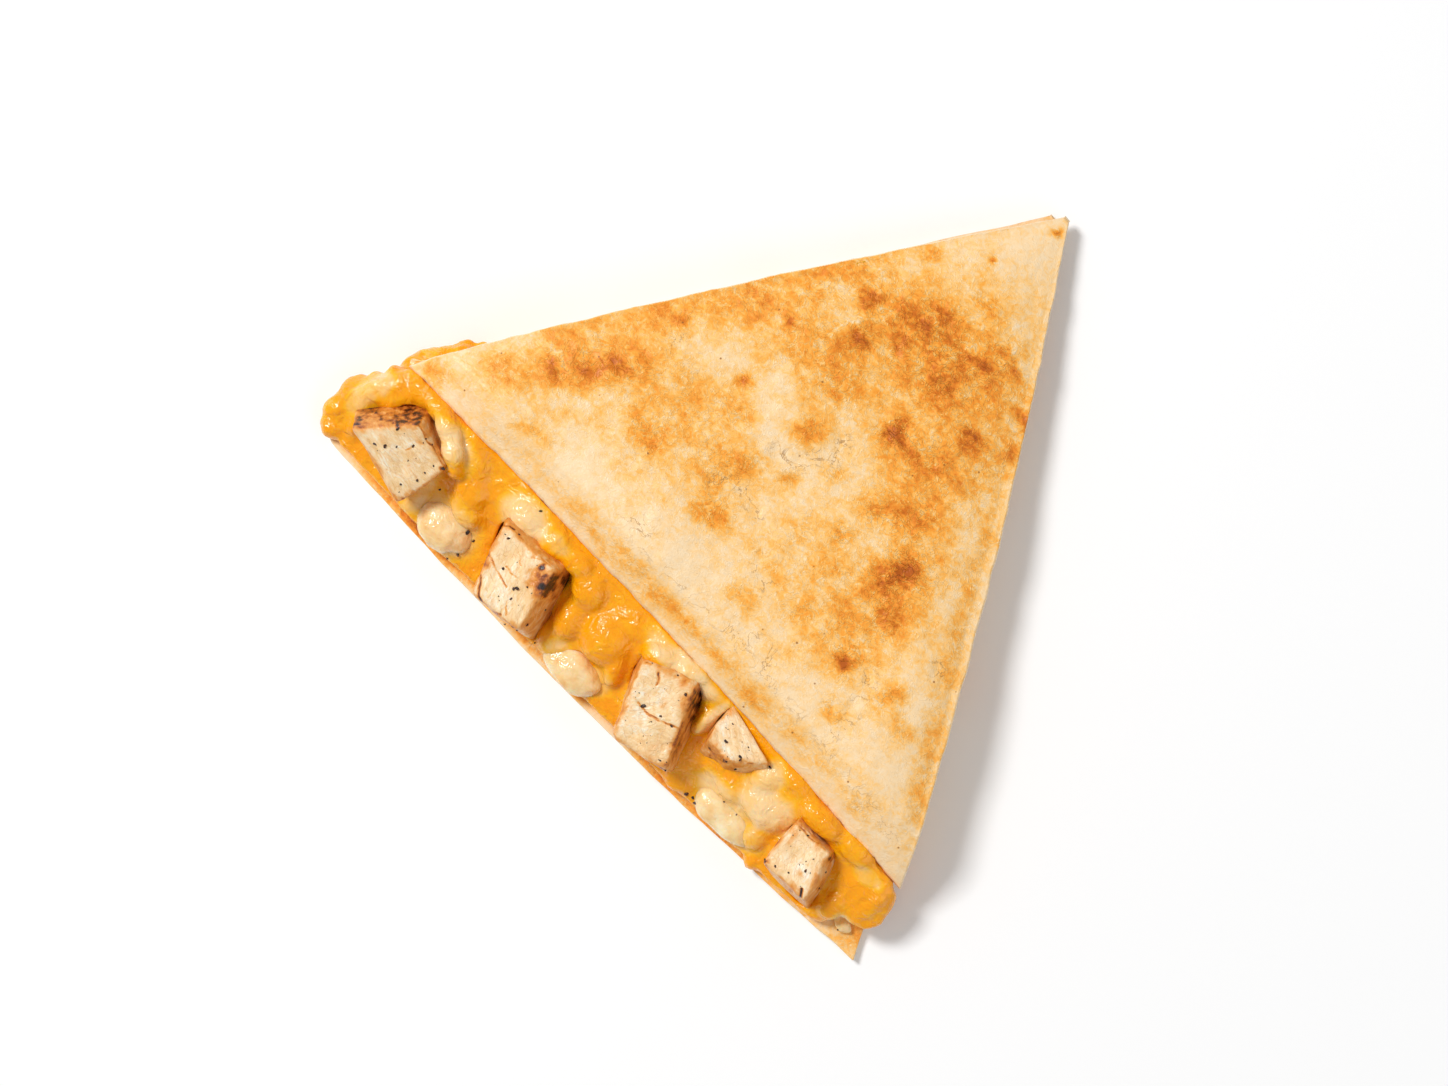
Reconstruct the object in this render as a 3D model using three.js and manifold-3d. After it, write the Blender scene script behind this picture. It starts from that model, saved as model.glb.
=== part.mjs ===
// A cut wedge of grilled chicken quesadilla: two toasted flour tortillas with
// melted orange and white cheese and diced chicken between them. It lies flat,
// its open side with the filling faces -Y, and its narrow tip points to +Y.
import * as THREE from 'three';
import { mergeVertices } from 'three/addons/utils/BufferGeometryUtils.js';
import Module from 'manifold-3d';

const wasm = await Module();
wasm.setup();

// Driving dimensions, in millimetres. X runs along the open side from left to
// right, Y from the open side to the tip, and Z = 0 is what the wedge lies on.
const TORTILLA = 2.2; // thickness of one tortilla
const GAP = 0.3; // clearance between pieces that touch
const TIP_Y = 151; // the upper tortilla's tip
const RIDGE_Y = 29; // in front of this line the upper tortilla drapes down
const OPEN_EDGE_Y = 20; // the upper tortilla's open edge, set back from the lower one's
const TIP_HEIGHT = 7; // top of the upper tortilla at its tip
const RIDGE_HEIGHT = 21.5; // and at the ridge, over the diced chicken
const OPEN_EDGE_HEIGHT = 16; // and at the open edge
const CROWN_CURVE = 1.2; // how soon the top rises from the tip to the ridge
const SIDE_ROLL = 15; // width of the band that droops along each cut side
const SIDE_DROP = 0.15; // droop at the cut side, as a share of the height there
const SIDE_BLEND = 3; // how softly the droops of the two cut sides run into each other
const FRONT_HEIGHT = 5; // top of the cheese along the lower tortilla's front edge
const CHEESE_CURVE = 1.3; // how late the cheese rises from there to the open edge
const FRILL_HEIGHT = 6.5; // top of the cheese that has run out past the cut sides

// Corners of the layers, counter-clockwise from the left front, each with the
// length that its rounding takes off the sides; bows are how far each side,
// from its corner to the next one, stands out from a straight line.
const LOWER = {
  corners: [
    { x: -91, y: 3.5, round: 4 },
    { x: -84, y: -5.4, round: 5 },
    { x: 85, y: -1.8, round: 1.5 },
    { x: -5.8, y: 150.4, round: 1.5 },
  ],
  bows: [0.6, 2.6, 1.6, 1.2],
};
const UPPER = {
  corners: [
    { x: -82.5, y: 20.2, round: 2.5 },
    { x: 79.5, y: 17.7, round: 2.5 },
    { x: -3.2, y: 151.6, round: 1.5 },
  ],
  bows: [-1.4, 2.2, 1.4],
};
const CHEESE = {
  corners: [
    { x: -89.5, y: 5, round: 4 },
    { x: -84, y: -4, round: 4 },
    { x: 72, y: -2.4, round: 3 },
    { x: 74, y: 4.6, round: 2 },
    { x: 82, y: 5, round: 2.5 },
    { x: 82.3, y: 13.6, round: 3.5 },
    { x: 76.5, y: 19, round: 1 },
    { x: -4.6, y: 148, round: 1.5 },
    { x: -83, y: 18.5, round: 1 },
  ],
  bows: [0.5, 1.2, 0, -0.4, 0.5, -0.6, 2.6, 0.8, 0.4],
};

// Diced chicken on show at the open side: the corners of its upper face, counter-
// clockwise from its left front, the height and slope of that face, and how its
// foot is shifted and widened, because each dice leans and spreads downwards.
const SHOWN_DICE = [
  {
    face: [[-79.4, 0.4], [-61.8, -4], [-59.3, 10], [-71, 13]],
    top: 19,
    slope: [-0.22, 0.3],
    shift: [-4.6, 5.2],
    flare: 1.16,
  },
  {
    face: [[-36, -5.4], [-22.2, -4.2], [-26.2, 12], [-42.6, 11]],
    top: 18.4,
    slope: [0.16, 0.2],
    shift: [1.8, 3.4],
    flare: 1.34,
  },
  {
    face: [[9.6, -5.2], [23, -1.8], [14.6, 16.4], [1.4, 11.6]],
    top: 18,
    slope: [0, 0.08],
    shift: [0.4, 3.4],
    flare: 1.34,
  },
  {
    face: [[24.8, 9.6], [31.4, 9.9], [38.8, 16], [22.2, 20.4]],
    top: 16,
    slope: [0.05, -0.16],
    shift: [1.8, -5.6],
    flare: 1.08,
  },
  {
    face: [[53.2, -0.4], [66, -0.1], [62.6, 12.2], [51.8, 12]],
    top: 17,
    slope: [0.16, 0.08],
    shift: [2.8, 0.2],
    flare: 1.2,
  },
];

// Chicken cut through at the sides: the cut side it lies on, how far along that
// side from the open edge to the tip, its size and its turn in degrees.
const CUT_DICE = [
  { side: 'left', along: 0.27, size: [16, 15, 11], turn: 48 },
  { side: 'left', along: 0.62, size: [13, 12, 7.5], turn: 74 },
  { side: 'right', along: 0.2, size: [15, 14, 11.5], turn: 20 },
  { side: 'right', along: 0.52, size: [14, 13, 8], turn: -42 },
];
const CUT_DICE_DEPTH = 4; // how far a cut piece's centre lies in from the side
const CUT_DICE_FLARE = 1.08;

// Soft lumps of white cheese along the lower tortilla's front edge.
const WHITE_LUMPS = [
  { x: -51, y: -0.4, size: [12.8, 11, 8.6], turn: 8 },
  { x: -7.4, y: -1.4, size: [14, 9.8, 7.8], turn: 3 },
  { x: 40.4, y: 0, size: [15.5, 8.2, 7], turn: -2 },
];

// Swellings of the open cheese surface between the chicken: centre, spread, rise.
const SWELLS = [
  { x: -84, y: 9, spread: 6, rise: 2.4 },
  { x: -62, y: 16, spread: 6, rise: 2.6 },
  { x: -52, y: 10, spread: 6, rise: 2.2 },
  { x: -37, y: 15, spread: 6, rise: 3.6 },
  { x: -9, y: 9, spread: 8, rise: 3.2 },
  { x: 7, y: 16, spread: 6, rise: 2.8 },
  { x: 21, y: 16, spread: 4, rise: 1.2 },
  { x: 46, y: 11, spread: 7, rise: 2.2 },
  { x: 58, y: 15, spread: 6, rise: 2.4 },
  { x: 76, y: 11, spread: 6, rise: 2.6 },
];

// Cheese that has run out past the edges of the tortillas: centre and half sizes.
const DRIPS = [
  { x: -85.8, y: -2.4, z: 3.6, half: [3.6, 3.4, 3.1] },
  { x: -88, y: 6.6, z: 4.6, half: [3.4, 5, 3.6] },
  { x: 52.2, y: -1.8, z: 3.5, half: [2.6, 3.1, 2.9] },
  { x: 79.5, y: 10.4, z: 5, half: [3.4, 4.6, 4] },
];
const FRILL = { from: [-82, 20], to: [-73.5, 33], pieces: 5, half: [4.6, 4.6, 3.4], z: 4.8 };

// Unseen chicken that lifts the upper tortilla in low mounds.
const MOUNDS = { count: 12, spread: 11, rise: 1.1, seed: 41 };

// Grid lines of the tortilla and cheese surfaces, finer towards the open side.
const FINE_STEP = 3;
const COARSE_STEP = 6.4;
const OUTSIDE = 6; // how far the grids reach past the layers
const CURVE_SEGMENTS = 9; // steps in each side and corner of an outline
const ABOVE_ALL = 45; // height over everything, for cutting

const SQUARENESS = 9; // 2 would make a dice a ball, and more makes it squarer
const UNEVENNESS = 0.035; // share by which dice and lumps swell and narrow
const DICE_SEED = 1;
const LUMP_SEED = 21;
const FRILL_SEED = 7;

const DEGREE = Math.PI / 180;

// Repeatable random numbers between 0 and 1.
function seeded(seed) {
  let state = seed;
  return () => {
    state = (state * 1664525 + 1013904223) % 4294967296;
    return state / 4294967296;
  };
}

function clamp01(value) {
  return Math.min(1, Math.max(0, value));
}

function between(a, b, share) {
  return a + (b - a) * share;
}

// How far a point lies in from the line a to b, with the layer on its left.
function insetFrom(a, b, x, y) {
  const length = Math.hypot(b.x - a.x, b.y - a.y);
  return ((b.x - a.x) * (y - a.y) - (b.y - a.y) * (x - a.x)) / length;
}

// How far a point lies in from the nearer cut side, without a kink between them.
function sideInset(x, y) {
  const [left, right, tip] = UPPER.corners;
  const near = [insetFrom(right, tip, x, y), insetFrom(tip, left, x, y)];
  return -SIDE_BLEND * Math.log(near.reduce((sum, inset) => sum + Math.exp(-inset / SIDE_BLEND), 0));
}

// The point that lies a length away from one corner towards another.
function towards(corner, other, length) {
  const share = length / Math.hypot(other.x - corner.x, other.y - corner.y);
  return { x: between(corner.x, other.x, share), y: between(corner.y, other.y, share) };
}

// A layer's outline as a closed shape with rounded corners and bowed sides.
function outlineShape({ corners, bows }) {
  const shape = new THREE.Shape();
  corners.forEach((corner, i) => {
    const before = corners[(i + corners.length - 1) % corners.length];
    const after = corners[(i + 1) % corners.length];
    const arrive = towards(corner, before, corner.round);
    const leave = towards(corner, after, corner.round);
    const end = towards(after, corner, after.round);
    const span = Math.hypot(end.x - leave.x, end.y - leave.y);
    const bendX = (leave.x + end.x) / 2 + (2 * bows[i] * (end.y - leave.y)) / span;
    const bendY = (leave.y + end.y) / 2 - (2 * bows[i] * (end.x - leave.x)) / span;
    if (i === 0) {
      shape.moveTo(arrive.x, arrive.y);
    }
    shape.quadraticCurveTo(corner.x, corner.y, leave.x, leave.y);
    shape.quadraticCurveTo(bendX, bendY, end.x, end.y);
  });
  return shape;
}

// The same outline with every corner moved out from the layer's middle, so that
// its long sides lie about the given distance further out.
function grown({ corners, bows }, distance) {
  const middle = { x: 0, y: TIP_Y / 3 };
  const reach = Math.min(
    ...corners.map((a, i) => insetFrom(a, corners[(i + 1) % corners.length], middle.x, middle.y)),
  );
  const scale = 1 + distance / reach;
  const moved = corners.map((corner) => ({
    x: middle.x + (corner.x - middle.x) * scale,
    y: middle.y + (corner.y - middle.y) * scale,
    round: corner.round,
  }));
  return { corners: moved, bows };
}

function toSolid(geometry) {
  const bare = geometry.clone();
  bare.deleteAttribute('normal');
  bare.deleteAttribute('uv');
  const merged = mergeVertices(bare);
  return new wasm.Manifold(
    new wasm.Mesh({
      numProp: 3,
      vertProperties: Float32Array.from(merged.attributes.position.array),
      triVerts: Uint32Array.from(merged.index.array),
    }),
  );
}

function toGeometry(solid) {
  const { vertProperties, triVerts } = solid.getMesh();
  const geometry = new THREE.BufferGeometry();
  geometry.setAttribute('position', new THREE.BufferAttribute(vertProperties, 3));
  geometry.setIndex(new THREE.BufferAttribute(triVerts, 1));
  geometry.computeVertexNormals();
  return geometry;
}

// Cutting can leave loose crumbs, which are dropped.
function largestBody(solid) {
  return solid.decompose().reduce((a, b) => (a.volume() > b.volume() ? a : b));
}

// An upright block over an outline, from one height to another.
function prism(outline, low, high) {
  const geometry = new THREE.ExtrudeGeometry(outlineShape(outline), {
    depth: high - low,
    bevelEnabled: false,
    curveSegments: CURVE_SEGMENTS,
  });
  geometry.translate(0, 0, low);
  return toSolid(geometry);
}

// Grid lines with an even spacing of at most one step.
function gridLines(from, to, step) {
  const count = Math.ceil((to - from) / step);
  return Array.from({ length: count + 1 }, (_, i) => between(from, to, i / count));
}

// A solid between two height functions, over a rectangular grid.
function slab(low, high) {
  const xs = gridLines(LOWER.corners[0].x - OUTSIDE, LOWER.corners[2].x + OUTSIDE, COARSE_STEP);
  const front = gridLines(LOWER.corners[1].y - OUTSIDE, RIDGE_Y, FINE_STEP);
  const back = gridLines(RIDGE_Y, TIP_Y + OUTSIDE, COARSE_STEP);
  const ys = [...front, ...back.slice(1)];
  const columns = xs.length;
  const layer = columns * ys.length;
  const positions = [];
  [low, high].forEach((height) => {
    ys.forEach((y) => xs.forEach((x) => positions.push(x, y, height(x, y))));
  });
  const faces = [];
  const quad = (a, b, c, d) => faces.push(a, b, c, a, c, d);
  for (let j = 0; j + 1 < ys.length; j++) {
    for (let i = 0; i + 1 < columns; i++) {
      const a = j * columns + i;
      quad(a, a + columns, a + columns + 1, a + 1);
      quad(a + layer, a + layer + 1, a + layer + columns + 1, a + layer + columns);
    }
  }
  for (let i = 0; i + 1 < columns; i++) {
    const last = layer - columns + i;
    quad(i, i + 1, i + 1 + layer, i + layer);
    quad(last + 1, last, last + layer, last + 1 + layer);
  }
  for (let j = 0; j + 1 < ys.length; j++) {
    const start = j * columns;
    const end = start + columns - 1;
    quad(start + columns, start, start + layer, start + columns + layer);
    quad(end, end + columns, end + columns + layer, end + layer);
  }
  const geometry = new THREE.BufferGeometry();
  geometry.setAttribute('position', new THREE.Float32BufferAttribute(positions, 3));
  geometry.setIndex(faces);
  return toSolid(geometry);
}

// Places of the mounds, spread by chance under the upper tortilla.
function moundPlaces() {
  const random = seeded(MOUNDS.seed);
  const [left, right, tip] = UPPER.corners;
  return Array.from({ length: MOUNDS.count }, () => {
    const along = Math.sqrt(random());
    const across = random();
    return {
      x: between(tip.x, between(left.x, right.x, across), along),
      y: between(tip.y, RIDGE_Y, along),
      rise: MOUNDS.rise * between(0.4, 1, random()),
    };
  });
}
const mounds = moundPlaces();

function swelling(places, x, y) {
  return places.reduce((sum, place) => {
    const far = Math.hypot(x - place.x, y - place.y) / (place.spread ?? MOUNDS.spread);
    return sum + place.rise * Math.exp(-far * far);
  }, 0);
}

// Height of the upper tortilla's top: low at the tip, highest at the ridge over
// the chicken, drooping along the cut sides and draping down at the open edge.
function upperTop(x, y) {
  const run = clamp01((TIP_Y - y) / (TIP_Y - RIDGE_Y));
  const crown = between(TIP_HEIGHT, RIDGE_HEIGHT, 1 - (1 - run) ** CROWN_CURVE);
  const roll = (1 - clamp01(sideInset(x, y) / SIDE_ROLL)) ** 2;
  const drape = Math.max(0, (RIDGE_Y - y) / (RIDGE_Y - OPEN_EDGE_Y)) ** 1.15;
  const lift = swelling(mounds, x, y) * run;
  return crown * (1 - SIDE_DROP * roll) - (RIDGE_HEIGHT - OPEN_EDGE_HEIGHT) * drape + lift;
}

function upperUnderside(x, y) {
  return upperTop(x, y) - TORTILLA;
}

// Height of the cheese before the upper tortilla trims it: a slope that swells
// from the front edge up to the open edge, and a low run past the cut sides.
function cheeseTop(x, y) {
  const front = LOWER.corners[1].y;
  const slope = clamp01((y - front) / (OPEN_EDGE_Y - front)) ** CHEESE_CURVE;
  const open = between(FRONT_HEIGHT, OPEN_EDGE_HEIGHT - TORTILLA + 1, slope);
  const kept = clamp01((sideInset(x, y) + 5) / 7);
  const height = y > OPEN_EDGE_Y ? Math.max(open, upperUnderside(x, y) + 1) : open;
  return between(FRILL_HEIGHT, height, kept) + swelling(SWELLS, x, y);
}

// Gentle waves that make a body uneven: a factor close to 1 for each direction.
function unevenness(seed) {
  const random = seeded(seed);
  const waves = [0, 1, 2].map(() => ({ start: random() * 6, rate: between(3, 6, random()) }));
  return (point, k) => {
    const across = point.getComponent((k + 1) % 3);
    const along = point.getComponent((k + 2) % 3);
    return 1 + UNEVENNESS * Math.sin(waves[k].rate * (across + 0.6 * along) + waves[k].start);
  };
}

// A dice of chicken, knife-cut with softened edges: a box that is rounded first
// and then stretched between its foot on the lower tortilla and its upper face.
function diceSolid({ face, top, slope, shift, flare }, seed, grow) {
  const uneven = unevenness(seed);
  const [a, b, c, d] = face;
  const centre = [0, 1].map((k) => (a[k] + b[k] + c[k] + d[k]) / 4);
  const width = Math.hypot(c[0] - a[0], c[1] - a[1]) / Math.SQRT2;
  const foot = TORTILLA + GAP;
  const geometry = new THREE.BoxGeometry(1, 1, 1, 4, 4, 4);
  const place = geometry.attributes.position;
  const point = new THREE.Vector3();
  for (let i = 0; i < place.count; i++) {
    point.fromBufferAttribute(place, i);
    const power = [point.x, point.y, point.z].reduce((sum, part) => sum + Math.abs(part) ** SQUARENESS, 0);
    point.multiplyScalar(0.5 / power ** (1 / SQUARENESS));
    const across = 0.5 + point.x * uneven(point, 0) * (1 + (2 * grow) / width);
    const back = 0.5 + point.y * uneven(point, 1) * (1 + (2 * grow) / width);
    const up = 0.5 + point.z * (1 + (2 * grow) / (top - foot));
    const upper = [0, 1].map((k) => between(between(a[k], b[k], across), between(d[k], c[k], across), back));
    const offset = [upper[0] - centre[0], upper[1] - centre[1]];
    const height = top + slope[0] * offset[0] + slope[1] * offset[1];
    const [x, y] = [0, 1].map((k) => between(centre[k] + shift[k] + flare * offset[k], upper[k], up));
    place.setXYZ(i, x, y, between(foot, height, up));
  }
  return toSolid(geometry);
}

// A soft rounded lump that lies on the lower tortilla.
function lumpSolid({ x, y, size, turn }, seed, grow) {
  const uneven = unevenness(seed);
  const geometry = new THREE.IcosahedronGeometry(0.5, 3);
  const place = geometry.attributes.position;
  const point = new THREE.Vector3();
  for (let i = 0; i < place.count; i++) {
    point.fromBufferAttribute(place, i);
    const [wide, deep, high] = size.map((part, k) => (part + 2 * grow) * uneven(point, k));
    place.setXYZ(i, point.x * wide, point.y * deep, point.z * high);
  }
  geometry.rotateZ(turn * DEGREE);
  geometry.translate(x, y, TORTILLA + GAP + (size[2] / 2) * (1 + UNEVENNESS));
  return toSolid(geometry);
}

// A piece of chicken cut through at a side, as a level dice.
function cutDice({ side, along, size, turn }) {
  const [left, right, tip] = UPPER.corners;
  const foot = side === 'left' ? left : right;
  const inward = side === 'left' ? 1 : -1;
  const length = Math.hypot(tip.x - foot.x, tip.y - foot.y);
  const x = between(foot.x, tip.x, along) + (inward * CUT_DICE_DEPTH * (tip.y - foot.y)) / length;
  const y = between(foot.y, tip.y, along) - (inward * CUT_DICE_DEPTH * (tip.x - foot.x)) / length;
  const cos = Math.cos(turn * DEGREE);
  const sin = Math.sin(turn * DEGREE);
  const face = [[-1, -1], [1, -1], [1, 1], [-1, 1]].map(([a, b]) => {
    const wide = (a * size[0]) / 2;
    const deep = (b * size[1]) / 2;
    return [x + wide * cos - deep * sin, y + wide * sin + deep * cos];
  });
  return { face, top: TORTILLA + GAP + size[2], slope: [0, 0], shift: [0, 0], flare: CUT_DICE_FLARE };
}

// The frill of cheese that has cooked on along the left cut side.
function frillDrips() {
  const random = seeded(FRILL_SEED);
  return Array.from({ length: FRILL.pieces }, (_, i) => {
    const share = i / (FRILL.pieces - 1);
    const size = between(0.8, 1.05, random());
    return {
      x: between(FRILL.from[0], FRILL.to[0], share),
      y: between(FRILL.from[1], FRILL.to[1], share),
      z: FRILL.z,
      half: FRILL.half.map((half) => half * size),
    };
  });
}

function dripSolid({ x, y, z, half }) {
  const ball = new THREE.IcosahedronGeometry(1, 1);
  ball.scale(...half);
  ball.translate(x, y, z);
  return toSolid(ball);
}

const lowerTortilla = prism(LOWER, 0, TORTILLA);
const upperTortilla = prism(UPPER, 0, ABOVE_ALL).intersect(slab(upperUnderside, upperTop));

// What must stay clear of other pieces: under the lower tortilla's top and over
// the upper tortilla's underside, each with the gap added.
const underLower = prism(grown(LOWER, GAP), -1, TORTILLA + GAP);
const overUpper = prism(grown(UPPER, GAP), 0, ABOVE_ALL).intersect(
  slab(
    (x, y) => upperUnderside(x, y) - GAP,
    () => ABOVE_ALL,
  ),
);

const allDice = [...SHOWN_DICE, ...CUT_DICE.map(cutDice)];
const cutFace = prism(CHEESE, 0, ABOVE_ALL);
const chicken = allDice.map((dice, i) => {
  const whole = diceSolid(dice, DICE_SEED + i, 0).subtract(overUpper);
  return largestBody(i < SHOWN_DICE.length ? whole : whole.intersect(cutFace));
});
const lumps = WHITE_LUMPS.map((lump, i) => lumpSolid(lump, LUMP_SEED + i, 0));

// The melted cheese fills what is left between the tortillas and the pieces.
let cheese = cutFace.intersect(slab(() => TORTILLA / 2, cheeseTop));
[...DRIPS, ...frillDrips()].forEach((drip) => {
  cheese = cheese.add(dripSolid(drip));
});
cheese = cheese.subtract(overUpper).subtract(underLower);
allDice.forEach((dice, i) => {
  cheese = cheese.subtract(diceSolid(dice, DICE_SEED + i, GAP));
});
WHITE_LUMPS.forEach((lump, i) => {
  cheese = cheese.subtract(lumpSolid(lump, LUMP_SEED + i, GAP));
});
cheese = largestBody(cheese);

const toastedTortilla = new THREE.MeshStandardMaterial({ color: 0xf1cd96, roughness: 0.8, metalness: 0 });
const meltedCheese = new THREE.MeshStandardMaterial({ color: 0xf7ae26, roughness: 0.3, metalness: 0 });
const whiteCheese = new THREE.MeshStandardMaterial({ color: 0xf6d6a2, roughness: 0.3, metalness: 0 });
const grilledChicken = new THREE.MeshStandardMaterial({ color: 0xeec797, roughness: 0.6, metalness: 0 });

const quesadilla = new THREE.Group();

function addPiece(name, solid, material) {
  const mesh = new THREE.Mesh(toGeometry(solid), material);
  mesh.name = name;
  quesadilla.add(mesh);
}

addPiece('lower_tortilla', lowerTortilla, toastedTortilla);
addPiece('melted_cheese', cheese, meltedCheese);
lumps.forEach((solid, i) => addPiece(`white_cheese_lump_${i + 1}`, solid, whiteCheese));
chicken.forEach((solid, i) => addPiece(`chicken_dice_${i + 1}`, solid, grilledChicken));
addPiece('upper_tortilla', upperTortilla, toastedTortilla);

// The origin is the middle of the underside.
const extent = new THREE.Box3().setFromObject(quesadilla);
const middle = extent.getCenter(new THREE.Vector3());
quesadilla.position.set(-middle.x, -middle.y, -extent.min.z);

export default quesadilla;
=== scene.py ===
# A cut wedge of grilled chicken quesadilla, seen from straight above. It is put
# together from the bottom up: lower tortilla, chicken, white cheese, melted
# cheese, upper tortilla, and last the pepper that was ground over the chicken.
import math

import bpy
import numpy as np
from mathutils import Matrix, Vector, noise
from mathutils.bvhtree import BVHTree


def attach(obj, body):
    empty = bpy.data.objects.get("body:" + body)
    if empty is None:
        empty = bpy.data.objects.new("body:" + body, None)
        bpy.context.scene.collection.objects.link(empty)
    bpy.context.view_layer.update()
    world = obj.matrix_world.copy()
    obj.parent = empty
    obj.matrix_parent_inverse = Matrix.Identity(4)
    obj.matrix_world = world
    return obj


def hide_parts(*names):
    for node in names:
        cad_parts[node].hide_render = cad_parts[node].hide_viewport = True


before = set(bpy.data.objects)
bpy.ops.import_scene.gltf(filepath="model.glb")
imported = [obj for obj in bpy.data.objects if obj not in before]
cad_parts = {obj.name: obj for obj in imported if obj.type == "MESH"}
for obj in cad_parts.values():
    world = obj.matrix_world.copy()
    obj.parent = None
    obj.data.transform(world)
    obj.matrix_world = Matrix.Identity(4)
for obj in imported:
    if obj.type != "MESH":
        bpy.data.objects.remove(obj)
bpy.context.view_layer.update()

# Lower tortilla: a 12 inch wheat flour tortilla, rolled out, baked and cut with
# a knife. The wedge lies on it, and it stands out under the filling in front.
# Sizes are in millimetres; U runs along the open side and V towards the tip.

MM = 0.001
FRAME_MIDDLE = np.array([-3.454, 72.251, 0.0])  # the frame's origin in U, V and height
TORTILLA = 2.2
LOWER_LEFT = (-91, 3.5)
LOWER_FRONT = (-84, -5.4)
LOWER_RIGHT = (85, -1.8)
LOWER_TIP = (-5.8, 150.4)


def raw_values(piece, kind="co"):
    """The places of a piece's vertices as Blender keeps them, or their normals."""
    values = np.empty(len(piece.data.vertices) * 3)
    piece.data.vertices.foreach_get(kind, values)
    return values.reshape(-1, 3)


def read_points(piece):
    return raw_values(piece) / MM + FRAME_MIDDLE


def move_points(piece, points):
    piece.data.vertices.foreach_set("co", ((points - FRAME_MIDDLE) * MM).ravel())
    piece.data.update()


def waves(points, size, shift=0.0, octaves=1):
    """Smooth noise from about -1 to 1, with swellings about as wide as size."""
    scaled = points / np.asarray(size, float) + shift
    if octaves == 1:
        return np.array([noise.noise(Vector(p)) for p in scaled])
    return np.array([noise.fractal(Vector(p), 0.8, 2.1, octaves) for p in scaled])


def paint(piece, name, values):
    """Keeps one number for each vertex, which the material reads by its name."""
    layer = piece.data.attributes.new(name, "FLOAT", "POINT")
    layer.data.foreach_set("value", np.asarray(values, np.float32))


def sides_between(start, end, bow, share):
    """Points along a side that bows out from the straight line by a few millimetres."""
    start, end = np.array(start, float), np.array(end, float)
    run = end - start
    outward = np.array([run[1], -run[0]]) / np.linalg.norm(run)
    share = np.asarray(share, float)[:, None]
    return start + run * share + outward * bow * 4 * share * (1 - share)


def edit_all(action="SELECT"):
    """Opens the active piece for editing, with all of its mesh selected, or none of it."""
    bpy.ops.object.mode_set(mode="EDIT")
    bpy.ops.mesh.select_all(action=action)


def add_sheet(name, columns, rows, open_side, left_side, right_side, thickness):
    """A flat three-sided slab whose fine upper vertices are given back as a mask."""
    bpy.ops.mesh.primitive_grid_add(x_subdivisions=columns, y_subdivisions=rows, size=1)
    sheet = bpy.context.object
    sheet.name = name
    across, along, _ = np.clip(raw_values(sheet) + 0.5, 0, 1).T
    left = left_side(along * 0.994)
    right = right_side(along * 0.994)
    front = open_side(across)
    straight = left_side([0]) + (right_side([0]) - left_side([0])) * across[:, None]
    bowed = (front - straight) * ((1 - along) ** 3)[:, None]
    flat = left + (right - left) * across[:, None] + bowed
    points = np.column_stack([flat, np.zeros(len(flat))])
    move_points(sheet, points)
    edit_all()
    bpy.ops.mesh.extrude_region_move(TRANSFORM_OT_translate={"value": (0, 0, thickness * MM)})
    bpy.ops.object.mode_set(mode="OBJECT")
    return sheet, read_points(sheet)[:, 2] > thickness / 2


def finish_sheet(sheet):
    """Closes the slab's normals, softens its knife-cut rim and gives the rim its own finish."""
    edit_all()
    bpy.ops.mesh.normals_make_consistent(inside=False)
    bpy.ops.mesh.select_all(action="DESELECT")
    bpy.ops.mesh.edges_select_sharp(sharpness=math.radians(50))
    bpy.ops.mesh.bevel(offset=0.3 * MM, segments=2)
    bpy.ops.object.mode_set(mode="OBJECT")
    bpy.ops.object.shade_smooth_by_angle(angle=math.radians(60))
    for face in sheet.data.polygons:
        face.material_index = 1 if abs(face.normal.z) < 0.45 else 0


def linear(text):
    """A hex colour such as f8d8a8, as linear red, green, blue and alpha."""
    parts = [int(text[i : i + 2], 16) / 255 for i in (0, 2, 4)]
    return [p / 12.92 if p <= 0.04045 else ((p + 0.055) / 1.055) ** 2.4 for p in parts] + [1]


def add_node(material, kind, inputs=None, stops=None, **settings):
    """Adds a node. Inputs given as a node, or (node, output), are linked; stops colour a ramp."""
    tree = material.node_tree
    node = tree.nodes.new(kind)
    for name, value in settings.items():
        setattr(node, name, value)
    for socket, value in (inputs or {}).items():
        if isinstance(value, bpy.types.Node):
            value = (value, 0)
        if isinstance(value, tuple) and isinstance(value[0], bpy.types.Node):
            tree.links.new(value[0].outputs[value[1]], node.inputs[socket])
        else:
            node.inputs[socket].default_value = value
    for i, (place, colour) in enumerate(stops or []):
        ramp = node.color_ramp.elements
        stop = ramp[i] if i < 2 else ramp.new(place)
        stop.position = place
        stop.color = linear(colour)
    return node


def new_material(name):
    material = bpy.data.materials.new(name)
    material.use_nodes = True
    material.node_tree.nodes.clear()
    return material


def thin_lines(material, pattern, width, strength):
    """Lines that wander where a noise pattern passes through its middle value."""
    middle = add_node(material, "ShaderNodeMath", {0: pattern, 1: 0.5}, operation="SUBTRACT")
    far = add_node(material, "ShaderNodeMath", {0: middle}, operation="ABSOLUTE")
    return add_node(
        material, "ShaderNodeMapRange",
        {"Value": far, "From Min": 0.0, "From Max": width, "To Min": strength, "To Max": 0.0},
    )


# Baked wheat flour dough: a dry, slightly translucent skin, cream where it stayed
# pale and golden to brown where it touched the griddle. The attribute toast says
# how far each place has browned, and noise at blister size breaks its edges up.
griddled = new_material("griddled_wheat_tortilla")
here = add_node(griddled, "ShaderNodeTexCoord")
toast = add_node(griddled, "ShaderNodeAttribute", attribute_name="toast")
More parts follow.
